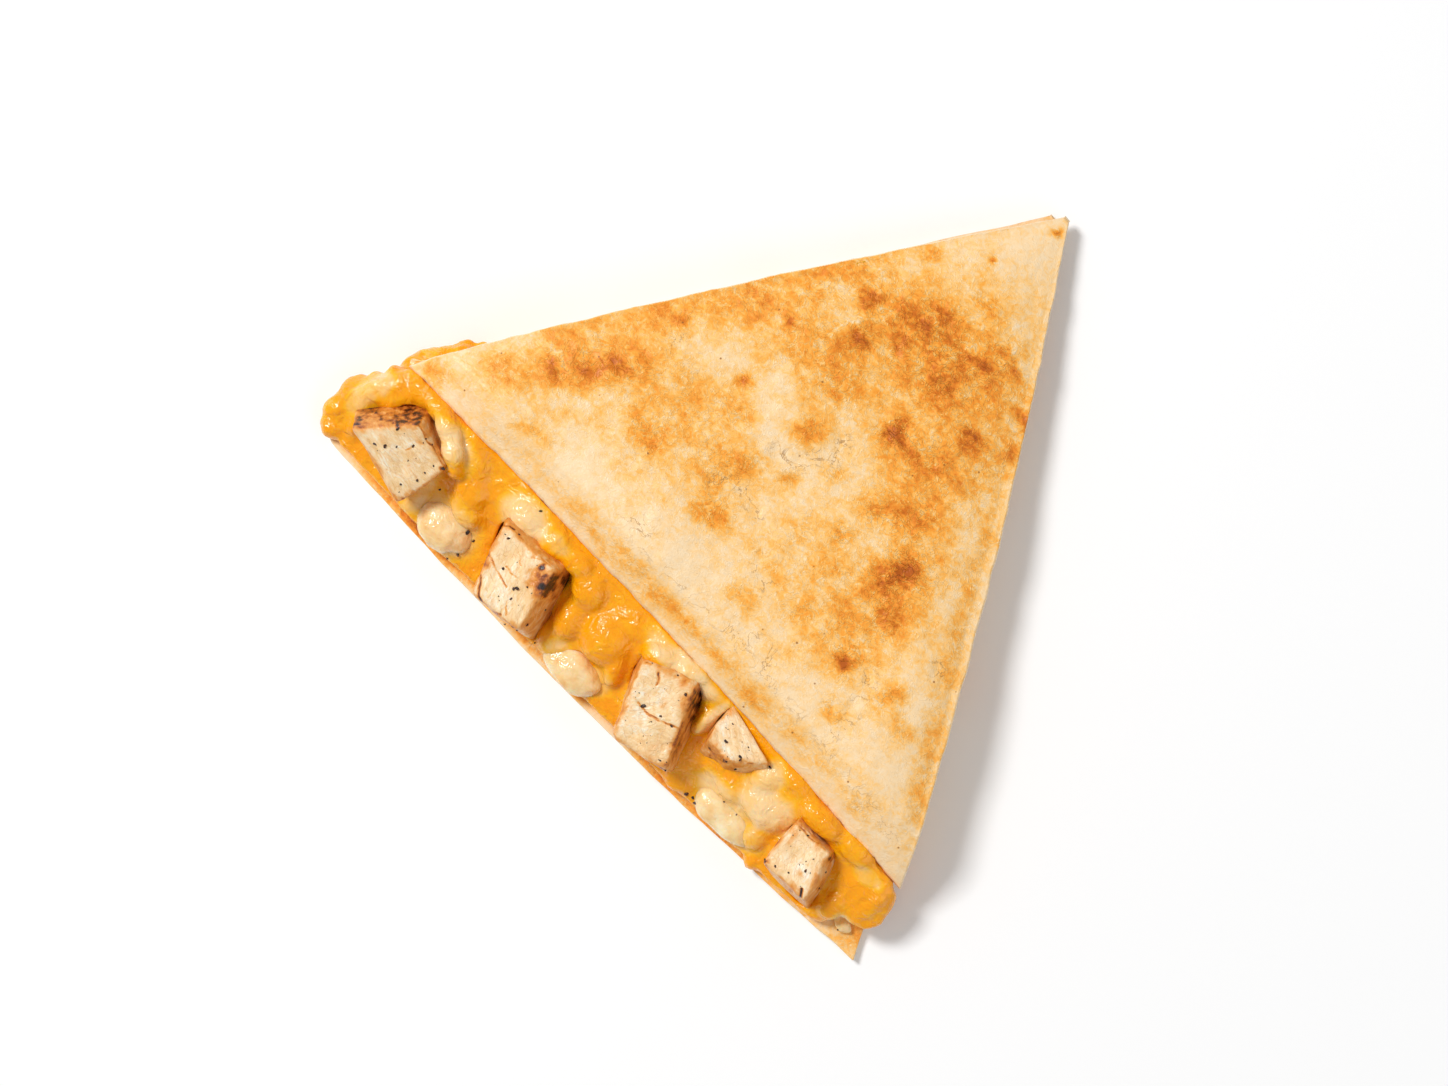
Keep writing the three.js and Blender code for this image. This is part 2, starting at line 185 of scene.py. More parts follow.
# The tortilla browns in streaks along +X, the way it was rolled out.
rolled_out = add_node(
    griddled, "ShaderNodeMapping", {"Vector": (here, "Object"), "Scale": (0.7, 1.0, 1.0)}
)
blotches = add_node(
    griddled, "ShaderNodeTexNoise",
    {"Vector": rolled_out, "Scale": 1 / (4.0 * MM), "Detail": 5.0, "Roughness": 0.6},
)
mottle = add_node(
    griddled, "ShaderNodeTexNoise",
    {
        "Vector": (here, "Object"), "Scale": 1 / (1.7 * MM), "Detail": 3.0, "Roughness": 0.6,
        "Distortion": 1.2,
    },
)
uneven = add_node(
    griddled, "ShaderNodeMapRange",
    {"Value": blotches, "From Min": 0.34, "From Max": 0.66, "To Min": 0.6, "To Max": 1.34},
    clamp=False,
)
fine = add_node(griddled, "ShaderNodeMath", {0: mottle, 1: 0.5}, operation="SUBTRACT")
patchy = add_node(griddled, "ShaderNodeMath", {0: (toast, "Fac"), 1: uneven}, operation="MULTIPLY")
fine_share = add_node(
    griddled, "ShaderNodeMath", {0: (toast, "Fac"), 1: 0.7, 2: 0.36}, operation="MULTIPLY_ADD"
)
mottled = add_node(
    griddled, "ShaderNodeMath", {0: fine, 1: fine_share, 2: patchy}, operation="MULTIPLY_ADD"
)
# The skin shrinks into curly wrinkles where it is toasted, about 2 mm apart. Their crests are
# painted paler: partly the skin's own paler colour, partly a painted highlight.
wrinkles = add_node(
    griddled, "ShaderNodeTexNoise",
    {
        "Vector": (here, "Object"), "Scale": 1 / (2.4 * MM), "Detail": 1.5, "Roughness": 0.5,
        "Distortion": 2.2,
    },
)
wrinkle_crest = thin_lines(griddled, wrinkles, 0.045, 1.0)
# How much paler the crests are painted where toasted: the skin's colour and a painted highlight
# together.
crest_paling_and_highlight = add_node(
    griddled, "ShaderNodeMath", {0: (toast, "Fac"), 1: -0.32}, operation="MULTIPLY"
)
browned = add_node(
    griddled, "ShaderNodeMath",
    {0: wrinkle_crest, 1: crest_paling_and_highlight, 2: mottled},
    operation="MULTIPLY_ADD",
)
crust_colour = add_node(
    griddled, "ShaderNodeValToRGB",
    {"Fac": browned},
    stops=[
        (0.0, "fbe0b8"), (1.0, "b8590a"), (0.12, "fbd9a8"), (0.25, "fdcc84"), (0.38, "fdba5a"),
        (0.5, "faa63a"), (0.65, "f09029"), (0.8, "da7617"),
    ],
)
freckles = add_node(
    griddled, "ShaderNodeTexVoronoi",
    {"Vector": (here, "Object"), "Scale": 1 / (6.5 * MM), "Randomness": 1.0},
)
freckle_dots = add_node(
    griddled, "ShaderNodeMapRange",
    {
        "Value": (freckles, "Distance"), "From Min": 0.03, "From Max": 0.05, "To Min": 0.8,
        "To Max": 0.0,
    },
)
freckled = add_node(
    griddled, "ShaderNodeMix",
    {0: freckle_dots, 6: crust_colour, 7: linear("9c5a1e")},
    data_type="RGBA",
)
crease = add_node(griddled, "ShaderNodeAttribute", attribute_name="crease")
# Near the creases, which the attribute crease marks, thin wandering grey-brown lines are painted
# in: painted shade in the folds of the skin.
crease_shade_noise = add_node(
    griddled, "ShaderNodeTexNoise",
    {
        "Vector": (here, "Object"), "Scale": 1 / (5.5 * MM), "Detail": 4.0, "Roughness": 0.55,
        "Distortion": 0.6,
    },
)
crease_shade_trace = thin_lines(griddled, crease_shade_noise, 0.016, 0.85)
painted_crease_shade = add_node(
    griddled, "ShaderNodeMath", {0: crease_shade_trace, 1: (crease, "Fac")}, operation="MULTIPLY"
)
crust = add_node(
    griddled, "ShaderNodeMix",
    {0: painted_crease_shade, 6: (freckled, 2), 7: linear("a87c4c")},
    data_type="RGBA",
)
crispness = add_node(
    griddled, "ShaderNodeMath", {0: (toast, "Fac"), 1: 0.8, 2: 0.2}, operation="MULTIPLY_ADD"
)
wrinkle_bump = add_node(
    griddled, "ShaderNodeBump",
    {"Height": wrinkle_crest, "Strength": crispness, "Distance": 0.22 * MM},
)
flour = add_node(
    griddled, "ShaderNodeTexNoise",
    {"Vector": (here, "Object"), "Scale": 1 / (0.45 * MM), "Detail": 1.0},
)
flour_bump = add_node(
    griddled, "ShaderNodeBump",
    {"Height": flour, "Strength": 0.5, "Distance": 0.12 * MM, "Normal": wrinkle_bump},
)
skin = add_node(
    griddled, "ShaderNodeBsdfPrincipled",
    {"Base Color": (crust, 2), "Roughness": 0.4, "Specular IOR Level": 0.35, "Normal": flour_bump},
)
add_node(griddled, "ShaderNodeOutputMaterial", {"Surface": skin})

# The knife cut through the same dough shows its pale inside in thin flaky layers.
cut_dough = new_material("cut_wheat_dough")
here = add_node(cut_dough, "ShaderNodeTexCoord")
layers_at = add_node(
    cut_dough, "ShaderNodeMapping", {"Vector": (here, "Object"), "Scale": (1.0, 1.0, 4.0)}
)
layers = add_node(
    cut_dough, "ShaderNodeTexNoise", {"Vector": layers_at, "Scale": 1 / (1.6 * MM), "Detail": 3.0}
)
dough_colour = add_node(
    cut_dough, "ShaderNodeValToRGB",
    {"Fac": layers},
    stops=[(0.3, "e9bd80"), (0.7, "fbe9cd"), (0.48, "f8dcb2")],
)
layer_bump = add_node(
    cut_dough, "ShaderNodeBump", {"Height": layers, "Strength": 0.5, "Distance": 0.3 * MM}
)
dough = add_node(
    cut_dough, "ShaderNodeBsdfPrincipled",
    {"Base Color": dough_colour, "Roughness": 0.75, "Normal": layer_bump},
)
add_node(cut_dough, "ShaderNodeOutputMaterial", {"Surface": dough})


def lower_front(share):
    """The lower tortilla's front: a short clipped corner on the left, then the long open side."""
    share = np.asarray(share, float)
    clipped = sides_between(LOWER_LEFT, LOWER_FRONT, 0.6, np.clip(share / 0.06, 0, 1))
    long_side = sides_between(LOWER_FRONT, LOWER_RIGHT, 2.6, np.clip((share - 0.06) / 0.94, 0, 1))
    return np.where((share < 0.06)[:, None], clipped, long_side)


lower, is_top = add_sheet(
    "lower_flour_tortilla",
    190,
    170,
    lower_front,
    lambda share: sides_between(LOWER_LEFT, LOWER_TIP, -1.2, share),
    lambda share: sides_between(LOWER_RIGHT, LOWER_TIP, 1.6, share),
    TORTILLA,
)
points = read_points(lower)
points[:, 0] += 0.3 * waves(points, 7, 3.1)
points[:, 1] += 0.3 * waves(points, 7, 8.4)
blisters = waves(points, 6, 1.7, 3)
points[:, 2] += np.where(is_top, 0.18, 0.0) * blisters
# The underside stays flat, with blisters that rise into it by up to 0.4 mm.
points[:, 2] += np.where(is_top, 0.0, 1.0) * 0.4 * np.clip(blisters, 0, 1)
move_points(lower, points)
finish_sheet(lower)
points = read_points(lower)
browning = np.where(points[:, 2] > 1.1, 0.14, 0.3) + 0.45 * waves(points, 22, 5.2, 3)
browning += 0.36 * np.exp(-(((points[:, 1] + 4) / 1.8) ** 2)) * (points[:, 0] < 70)
browning += 0.2 * np.exp(-(((points[:, 0] - 80) / 9) ** 2)) * (points[:, 1] < 8)
paint(lower, "toast", np.clip(browning, 0, 0.95))
lower.data.materials.append(griddled)
lower.data.materials.append(cut_dough)
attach(lower, "root")
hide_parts("lower_tortilla")

# Diced chicken: grilled breast meat, cut into 3/4 inch dice that lean and lie on
# the lower tortilla. The cut faces are pale and fibrous, and the faces that were
# the outside of the breast are seared brown, with char from the grill.

FOOT = 2.5  # height of every dice's foot, 0.3 above the tortilla
SHOWN_DICE = [
    {
        "face": [(-80.8, 0.9), (-61.8, -4), (-59.3, 10), (-71, 13)],
        "top": 19,
        "slope": (-0.22, 0.3),
        "shift": (-4.6, 5.2),
        "flare": 1.16,
        "sides": {"left": 0.62, "right": 0.4, "front": 0.28, "back": 0.22},
        "char": [
            (-78, 12, 1.6, 0.8), (-75, 17, 2.8, 0.95), (-74.4, 12.6, 3.2, 0.8),
            (-72.5, 18.6, 2.2, 1.0), (-73.6, 13.6, 1.4, 0.9), (-74.6, 9.6, 1.3, 0.9),
            (-78, 7.2, 0.8, 0.85), (-80.6, 7.6, 1.0, 0.95), (-81.6, 3.4, 1.3, 0.85),
            (-80.2, 10.8, 0.7, 0.95), (-66, -4.8, 1.4, 0.9), (-60.3, 9.6, 0.7, 0.95),
            (-57.6, 6.4, 1.4, 0.6),
        ],
        "cracks": [
            (
                [(-71, 12.5), (-69, 12.2), (-67.5, 11.5),
                 (-65.5, 11.4), (-63, 10.8), (-60.4, 10.2)],
                0.24,
                0.62,
            ),
            ([(-82.4, 2), (-82.2, 4.2), (-80.8, 5.6)], 0.5, 0.9),
            ([(-81, 0.8), (-77.5, -0.5), (-74, -2)], 0.26, 0.85),
            ([(-70.5, -4.1), (-68, -3.9), (-66.6, -3.9)], 0.5, 0.85),
            ([(-65.2, -3.3), (-63.8, -2.9), (-61.4, -3.3)], 0.45, 0.8),
            ([(-75.2, 8.6), (-74.6, 10), (-73.6, 11.2)], 0.5, 0.98),
            ([(-73, 12.6), (-72.4, 14), (-71.6, 15.2)], 0.6, 0.95),
            ([(-68.4, 8), (-68.9, 6.6)], 0.3, 0.34),
            ([(-66, 4.2), (-63, 4)], 0.24, 0.3),
        ],
        "grain": 12,
    },
    {
        "face": [(-36, -5.4), (-22.2, -4.2), (-26.2, 12), (-42.6, 11)],
        "top": 18.4,
        "slope": (0.16, 0.2),
        "shift": (1.8, 3.4),
        "flare": 1.34,
        "sides": {"left": 0.44, "right": 0.36, "front": 0.25, "back": 0.34},
        "char": [
            (-26.6, 9.2, 1.4, 1.0), (-24.2, 8, 1.2, 1.0), (-24, 6, 1.0, 1.0),
            (-28.8, 10.3, 0.9, 0.95), (-25.4, 10.4, 1.3, 0.95), (-25.4, 8.2, 3.6, 0.86),
            # The spots round U -21, V 12, at the back-right corner, are char and also painted
            # shadow of the recess behind the dice.
            (-21.4, 13, 2.4, 1.0), (-20.2, 11.4, 1.3, 1.0), (-22.6, 11, 1.6, 0.85),
            (-22, 12, 4.2, 0.84), (-41.6, 0.9, 1.3, 1.0), (-40, 1.2, 2.4, 0.66),
            (-41.6, 4.4, 1.2, 0.8),
        ],
        "cracks": [
            ([(-42, 5.6), (-43.1, 8), (-42.5, 10), (-41, 11.3), (-39.4, 11.5)], 0.25, 0.8),
            ([(-41.6, 3.9), (-38.6, 3.2), (-36.3, 2.4)], 0.22, 0.85),
            ([(-36.3, 2.4), (-33.4, 1.6), (-31.2, 1.3)], 0.2, 0.75),
            (
                [(-37, -1.6), (-35.2, -3.6), (-34, -4.7),
                 (-32, -5.6), (-29.4, -4.8), (-27.8, -4.1)],
                0.36,
                0.95,
            ),
            ([(-43.5, 0.4), (-41, -0.4), (-37.4, -1.4)], 0.32, 0.95),
            ([(-34, 8.6), (-33.4, 7.6), (-32.6, 7)], 0.22, 0.4),
            ([(-34.8, 4.4), (-33, 4.2), (-31.3, 4.4)], 0.2, 0.5),
            ([(-27.7, 7), (-27.9, 4.6)], 0.2, 0.5),
            ([(-42, 5.4), (-41.2, 4.2)], 0.4, 0.95),
            ([(-28.8, -1), (-26.8, -3.2)], 0.22, 0.4),
            ([(-32, 10), (-30.4, 11.2)], 0.3, 0.4),
        ],
        "grain": 100,
    },
    {
        "face": [(9.6, -5.2), (23, -1.8), (14.6, 16.4), (1.4, 11.6)],
        "top": 18,
        "slope": (0, 0.08),
        "shift": (0.4, 3.4),
        "flare": 1.34,
        "sides": {"left": 0.4, "right": 0.5, "front": 0.22, "back": 0.2},
        "char": [
            # The first three spots, on the back-right side, are painted shadow of the deep recess
            # behind this dice, laid on as char.
            (17.4, 13.4, 3, 0.84), (19, 11, 1.8, 0.7), (16, 15.8, 1.7, 0.85), (14, 13.6, 0.7, 0.7),
            (22.6, -0.6, 0.8, 0.6), (1.6, 8.6, 2.2, 0.34), (3, 4.8, 2.2, 0.36),
            (5.4, 0.8, 1.8, 0.32),
        ],
        "cracks": [
            ([(8, 4.6), (10.3, 4.2), (13, 4.8), (16.5, 6.2), (19, 7.2)], 0.22, 0.7),
            ([(6.3, 12.6), (7.2, 11.8), (7.9, 10.3)], 0.26, 0.85),
            ([(-0.7, 9.6), (-0.8, 6.4), (0.2, 4), (1.4, 2.2), (3.4, 0.6)], 0.42, 0.95),
            ([(3.6, 4.6), (4.4, 3.6)], 0.36, 0.95),
            ([(5.6, -0.8), (6.9, -2)], 0.34, 0.95),
            ([(10.6, -5.3), (15, -4.6), (19, -3.5), (23, -1.7)], 0.22, 0.7),
            ([(9.6, -4.8), (10.6, -5.6)], 0.5, 1.0),
        ],
        "grain": 20,
    },
    {
        "face": [(24.8, 9.6), (31.4, 9.9), (38.8, 16), (22.2, 20.4)],
        "top": 16,
        "slope": (0.05, -0.16),
        "shift": (1.8, -5.6),
        "flare": 1.08,
        "sides": {"left": 0.18, "right": 0.22, "front": 0.42, "back": 0.15},
        "char": [
            (28.8, 6.8, 1.6, 0.85), (27, 8.6, 0.8, 0.8), (31, 9.4, 0.9, 0.85), (30, 5, 1.4, 0.7),
            (39, 15.6, 0.8, 0.75),
        ],
        "cracks": [([(26, 5.2), (28, 3.7), (30.4, 3.9), (32.4, 5.8)], 0.32, 0.85)],
        "grain": 150,
    },
    {
        "face": [(53.2, -0.4), (66, -0.1), (62.6, 12.2), (51.8, 12)],
        "top": 17,
        "slope": (0.16, 0.08),
        "shift": (2.8, 0.2),
        "flare": 1.2,
        "sides": {"left": 0.2, "right": 0.28, "front": 0.3, "back": 0.2},
        "char": [
            (67.6, 14.4, 1.2, 1.0), (67.3, 10.8, 1.1, 1.0), (63.6, 11, 0.8, 0.85),
            (63.8, 12.6, 1.4, 0.6), (65.4, 14, 1.4, 0.6), (53.3, 0.4, 0.8, 0.9),
            (66.7, 4.6, 0.6, 0.8),
        ],
        "cracks": [
            ([(54.3, -0.9), (57, -1.6), (60, -1.3), (63, -0.7)], 0.28, 0.9),
            ([(63.8, 1.8), (64.6, 0.6), (66, -1.3), (68, -0.8), (68.6, 0.6)], 0.28, 0.9),
            ([(52.1, 11.4), (54.4, 11.3), (56.2, 11.2), (59, 11.8)], 0.24, 0.6),
            ([(66.4, 11), (66.5, 5)], 0.24, 0.5),
            ([(69.8, 12), (69.9, 3)], 0.3, 0.45),
        ],
        "grain": 95,
    },
]
CUT_DICE = [
    {"side": "left", "along": 0.27, "size": (16, 15, 11), "turn": 48},
    {"side": "left", "along": 0.62, "size": (13, 12, 7.5), "turn": 74},
    {"side": "right", "along": 0.2, "size": (15, 14, 11.5), "turn": 20},
    {"side": "right", "along": 0.52, "size": (14, 13, 8), "turn": -42},
]
CUT_OVERSIZE = 0.9
CUT_VOXEL = 0.45
SHOWN_DIVISIONS, CUT_DIVISIONS = 62, 12  # how often each face of a dice is divided
SQUARENESS = 15  # higher is crisper; knife-cut edges are about 1.5 mm round
DICE_SEED = 1

# Grilled chicken breast: moist cut meat with long fibres that part in fine lines.
# The attribute sear browns it in steps up to black char, and the attribute grain
# holds each dice's own millimetres, with its fibres along X.
chicken_meat = new_material("grilled_chicken_breast")
sear = add_node(chicken_meat, "ShaderNodeAttribute", attribute_name="sear")
grain = add_node(chicken_meat, "ShaderNodeAttribute", attribute_name="grain")
along_fibres = add_node(
    chicken_meat, "ShaderNodeMapping", {"Vector": (grain, "Vector"), "Scale": (0.55, 1.0, 1.0)}
)
fibres = add_node(
    chicken_meat, "ShaderNodeTexNoise",
    {"Vector": along_fibres, "Scale": 1 / 0.8, "Detail": 4.0, "Roughness": 0.62, "Distortion": 1.5},
)
meat_clouds = add_node(
    chicken_meat, "ShaderNodeTexNoise",
    {"Vector": (grain, "Vector"), "Scale": 1 / 4.0, "Detail": 2.0},
)
meat_mix = add_node(chicken_meat, "ShaderNodeMath", {0: fibres, 1: meat_clouds}, operation="ADD")
meat_half = add_node(chicken_meat, "ShaderNodeMath", {0: meat_mix, 1: 0.5}, operation="MULTIPLY")
# The ramp's near-white top stop paints bright highlight streaks along the fibres; the stops below
# it are the meat's own tones.
meat_tone_and_highlight = add_node(
    chicken_meat, "ShaderNodeValToRGB",
    {"Fac": meat_half},
    stops=[(0.3, "e4aa68"), (0.64, "fff2d8"), (0.41, "f5c98a"), (0.52, "fddaa8")],
)
# Single strands part from each other in thin lines.
strand_waves = add_node(
    chicken_meat, "ShaderNodeTexNoise",
    {"Vector": along_fibres, "Scale": 1 / 2.4, "Detail": 2.0, "Roughness": 0.5, "Distortion": 1.3},
)
strand_line = thin_lines(chicken_meat, strand_waves, 0.02, 0.4)
stranded = add_node(
    chicken_meat, "ShaderNodeMix",
    {0: strand_line, 6: meat_tone_and_highlight, 7: linear("d99b58")},
    data_type="RGBA",
)
sear_noise = add_node(
    chicken_meat, "ShaderNodeTexNoise",
    {"Vector": along_fibres, "Scale": 1 / 1.2, "Detail": 4.0, "Roughness": 0.65},
)
sear_patches = add_node(
    chicken_meat, "ShaderNodeTexNoise",
    {"Vector": (grain, "Vector"), "Scale": 1 / 1.6, "Detail": 3.0},
)
sear_rough = add_node(
    chicken_meat, "ShaderNodeMath", {0: sear_noise, 1: sear_patches}, operation="ADD"
)
sear_centred = add_node(
    chicken_meat, "ShaderNodeMath", {0: sear_rough, 1: 1.0}, operation="SUBTRACT"
)
sear_spread = add_node(
    chicken_meat, "ShaderNodeMath", {0: sear_centred, 1: (sear, "Fac")}, operation="MULTIPLY"
)
seared = add_node(
    chicken_meat, "ShaderNodeMath",
    {0: sear_spread, 1: 1.5, 2: (sear, "Fac")},
    operation="MULTIPLY_ADD",
)
sear_colour = add_node(
    chicken_meat, "ShaderNodeValToRGB",
    {"Fac": seared},
    stops=[
        (0.08, "f6d5a8"), (1.0, "1a0c05"), (0.2, "f1bf80"), (0.36, "eca34c"), (0.52, "da842c"),
        (0.68, "a95816"), (0.84, "4a1f08"),
    ],
)
how_seared = add_node(
    chicken_meat, "ShaderNodeMapRange", {"Value": seared, "From Min": 0.08, "From Max": 0.3}
)
chicken_colour = add_node(
    chicken_meat, "ShaderNodeMix",
    {0: how_seared, 6: (stranded, 2), 7: sear_colour},
    data_type="RGBA",
)
strand_depth = add_node(
    chicken_meat, "ShaderNodeMath", {0: strand_line, 1: -0.6, 2: fibres}, operation="MULTIPLY_ADD"
)
fibre_bump = add_node(
    chicken_meat, "ShaderNodeBump", {"Height": strand_depth, "Strength": 0.6, "Distance": 0.4 * MM}
)
meat = add_node(
    chicken_meat, "ShaderNodeBsdfPrincipled",
    {
        "Base Color": (chicken_colour, 2), "Roughness": 0.4, "Specular IOR Level": 0.5,
        "Normal": fibre_bump, "Coat Weight": 0.3, "Coat Roughness": 0.18, "Coat Normal": fibre_bump,
        "Subsurface Weight": 0.12, "Subsurface Radius": (1.0, 0.6, 0.35),
        "Subsurface Scale": 1.2 * MM,
    },
)
add_node(chicken_meat, "ShaderNodeOutputMaterial", {"Surface": meat})


def seeded(seed):
    """Repeatable random numbers between 0 and 1, the same as the frame's."""
    state = seed
    while True:
        state = (state * 1664525 + 1013904223) % 4294967296
        yield state / 4294967296


def uneven_factors(unit, seed):
    """Gentle waves that make a body uneven: a factor close to 1 for each direction."""
    draw = seeded(seed)
    factors = []
    for k in range(3):
        start = next(draw) * 6
        rate = 3 + 3 * next(draw)
        phase = rate * (unit[:, (k + 1) % 3] + 0.6 * unit[:, (k + 2) % 3]) + start
        factors.append(1 + 0.035 * np.sin(phase))
    return factors


def stretch_dice(unit, dice, seed):
    """Puts the points of a unit cube where this dice's rounded, leaning body has them."""
    power = (np.abs(unit) ** SQUARENESS).sum(1)
    unit = unit * (0.5 / power ** (1 / SQUARENESS))[:, None]
    factors = uneven_factors(unit, seed)
    across = (0.5 + unit[:, 0] * factors[0])[:, None]
    back = (0.5 + unit[:, 1] * factors[1])[:, None]
    up = (0.5 + unit[:, 2])[:, None]
    a, b, c, d = (np.array(corner, float) for corner in dice["face"])
    centre = (a + b + c + d) / 4
    upper = (a + (b - a) * across) * (1 - back) + (d + (c - d) * across) * back
    offset = upper - centre
    height = dice["top"] + offset @ np.array(dice["slope"], float)
    foot = centre + np.array(dice["shift"], float) + dice["flare"] * offset
    flat = foot + (upper - foot) * up
    return np.column_stack([flat, FOOT + (height - FOOT) * up[:, 0]]), unit


def add_dice(name, cuts):
    """A unit cube with its faces divided, ready to be stretched into a dice."""
    bpy.ops.mesh.primitive_cube_add(size=1)
    piece = bpy.context.object
    piece.name = name
    edit_all()
    bpy.ops.mesh.subdivide(number_cuts=cuts)
    bpy.ops.object.mode_set(mode="OBJECT")
    return piece, raw_values(piece)


def keep_grain(piece, local, turn):
    """Keeps each point's place in the meat, in millimetres, with the fibres along its X."""
    cos, sin = math.cos(math.radians(turn)), math.sin(math.radians(turn))
    turned = np.column_stack(
        [local[:, 0] * cos + local[:, 1] * sin, local[:, 1] * cos - local[:, 0] * sin, local[:, 2]]
    )
    layer = piece.data.attributes.new("grain", "FLOAT_VECTOR", "POINT")
    layer.data.foreach_set("vector", turned.astype(np.float32).ravel())
    return turned


def inset_from(start, end, points):
    """How far points lie in from the line from start to end, with the wedge on its left."""
    run = np.array(end, float) - np.array(start, float)
    across = run[0] * (points[:, 1] - start[1]) - run[1] * (points[:, 0] - start[0])
    return across / np.linalg.norm(run)


UPPER_LEFT = (-82.5, 20.2)
UPPER_RIGHT = (79.5, 17.7)
UPPER_TIP = (-3.2, 151.6)
TIP_END = 151  # V where the upper tortilla ends
FOLD = 29  # V where it starts to bend down over the open side
MOUND_COUNT = 12
MOUND_SEED = 41


def upper_insets(points):
    """How far points lie inside the upper tortilla's open, right and left sides."""
    corners = (UPPER_LEFT, UPPER_RIGHT, UPPER_TIP, UPPER_LEFT)
    return [inset_from(start, end, points) for start, end in zip(corners, corners[1:])]


def mound_places():
    """The low mounds that unseen chicken lifts in the upper tortilla."""
    draw = seeded(MOUND_SEED)
    places = []
    for _ in range(MOUND_COUNT):
        along = math.sqrt(next(draw))
        across = next(draw)
        edge = UPPER_LEFT[0] + (UPPER_RIGHT[0] - UPPER_LEFT[0]) * across
        rise = 1.1 * (0.4 + 0.6 * next(draw))
        place_u = UPPER_TIP[0] + (edge - UPPER_TIP[0]) * along
        places.append((place_u, TIP_END + (FOLD - TIP_END) * along, rise))
    return places


MOUNDS = mound_places()


def upper_top(points):
    """Height of the upper tortilla's top, high over the chicken and drooping at its sides."""
    run = np.clip((TIP_END - points[:, 1]) / (TIP_END - FOLD), 0, 1)
    crown = 7 + 14.5 * (1 - (1 - run) ** 1.2)
    _, right, left = upper_insets(points)
    roll = (1 - np.clip(-3 * np.log(np.exp(-right / 3) + np.exp(-left / 3)) / 15, 0, 1)) ** 2
    drape = np.clip((FOLD - points[:, 1]) / 9, 0, None) ** 1.15
    lift = np.zeros(len(points))
    for u, v, rise in MOUNDS:
        lift += rise * np.exp(-((points[:, 0] - u) ** 2 + (points[:, 1] - v) ** 2) / 121)
    return crown * (1 - 0.15 * roll) - 5.5 * drape + lift * run


UPPER_BOW = 1.4  # how far the front edge bows in


def under_upper(points, gap):
    """Lowers points that lie inside the upper tortilla's outline to a gap below its underside."""
    share = np.clip((points[:, 0] - UPPER_LEFT[0]) / (UPPER_RIGHT[0] - UPPER_LEFT[0]), 0, 1)
    front, right, left = upper_insets(points)
    inside = (front > UPPER_BOW * 4 * share * (1 - share) + 0.3) & (right > 0) & (left > 0)
    limit = np.where(inside, upper_top(points) - TORTILLA - gap, np.inf)
    points[:, 2] = np.minimum(points[:, 2], limit)
    return points


def rebuild(piece, voxel):
    """Makes one skin round a piece's bodies, with faces of about the given size."""
    remesh = piece.modifiers.new("remesh", "REMESH")
    remesh.mode = "VOXEL"
    remesh.voxel_size = voxel * MM
    bpy.ops.object.modifier_apply(modifier="remesh")


def wander(points, size, shift_u, shift_v):
    """Shifts in U and V that make an outline uneven, from about -1 to 1."""
    return np.column_stack([waves(points, size, shift_u), waves(points, size, shift_v)])


def along_lines(points, lines):
    """Distance of each point, seen from above, to the nearest of some bent lines."""
    nearest = np.full(len(points), 1e6)
    for line in lines:
        for start, end in zip(line, line[1:]):
            start, run = np.array(start, float), np.array(end, float) - np.array(start, float)
            share = np.clip((points[:, :2] - start) @ run / (run @ run), 0, 1)
            apart = np.linalg.norm(points[:, :2] - start - share[:, None] * run, axis=1)
            nearest = np.minimum(nearest, apart)
    return nearest


def cut_side(cut):
    """The corner where a cut dice's side starts, the run from there to the tip, and the way out."""
    corner = np.array(UPPER_LEFT if cut["side"] == "left" else UPPER_RIGHT, float)
    run = np.array(UPPER_TIP, float) - corner
    inward = 1 if cut["side"] == "left" else -1
    return corner, run, np.array([-run[1], run[0]]) * inward / np.linalg.norm(run)


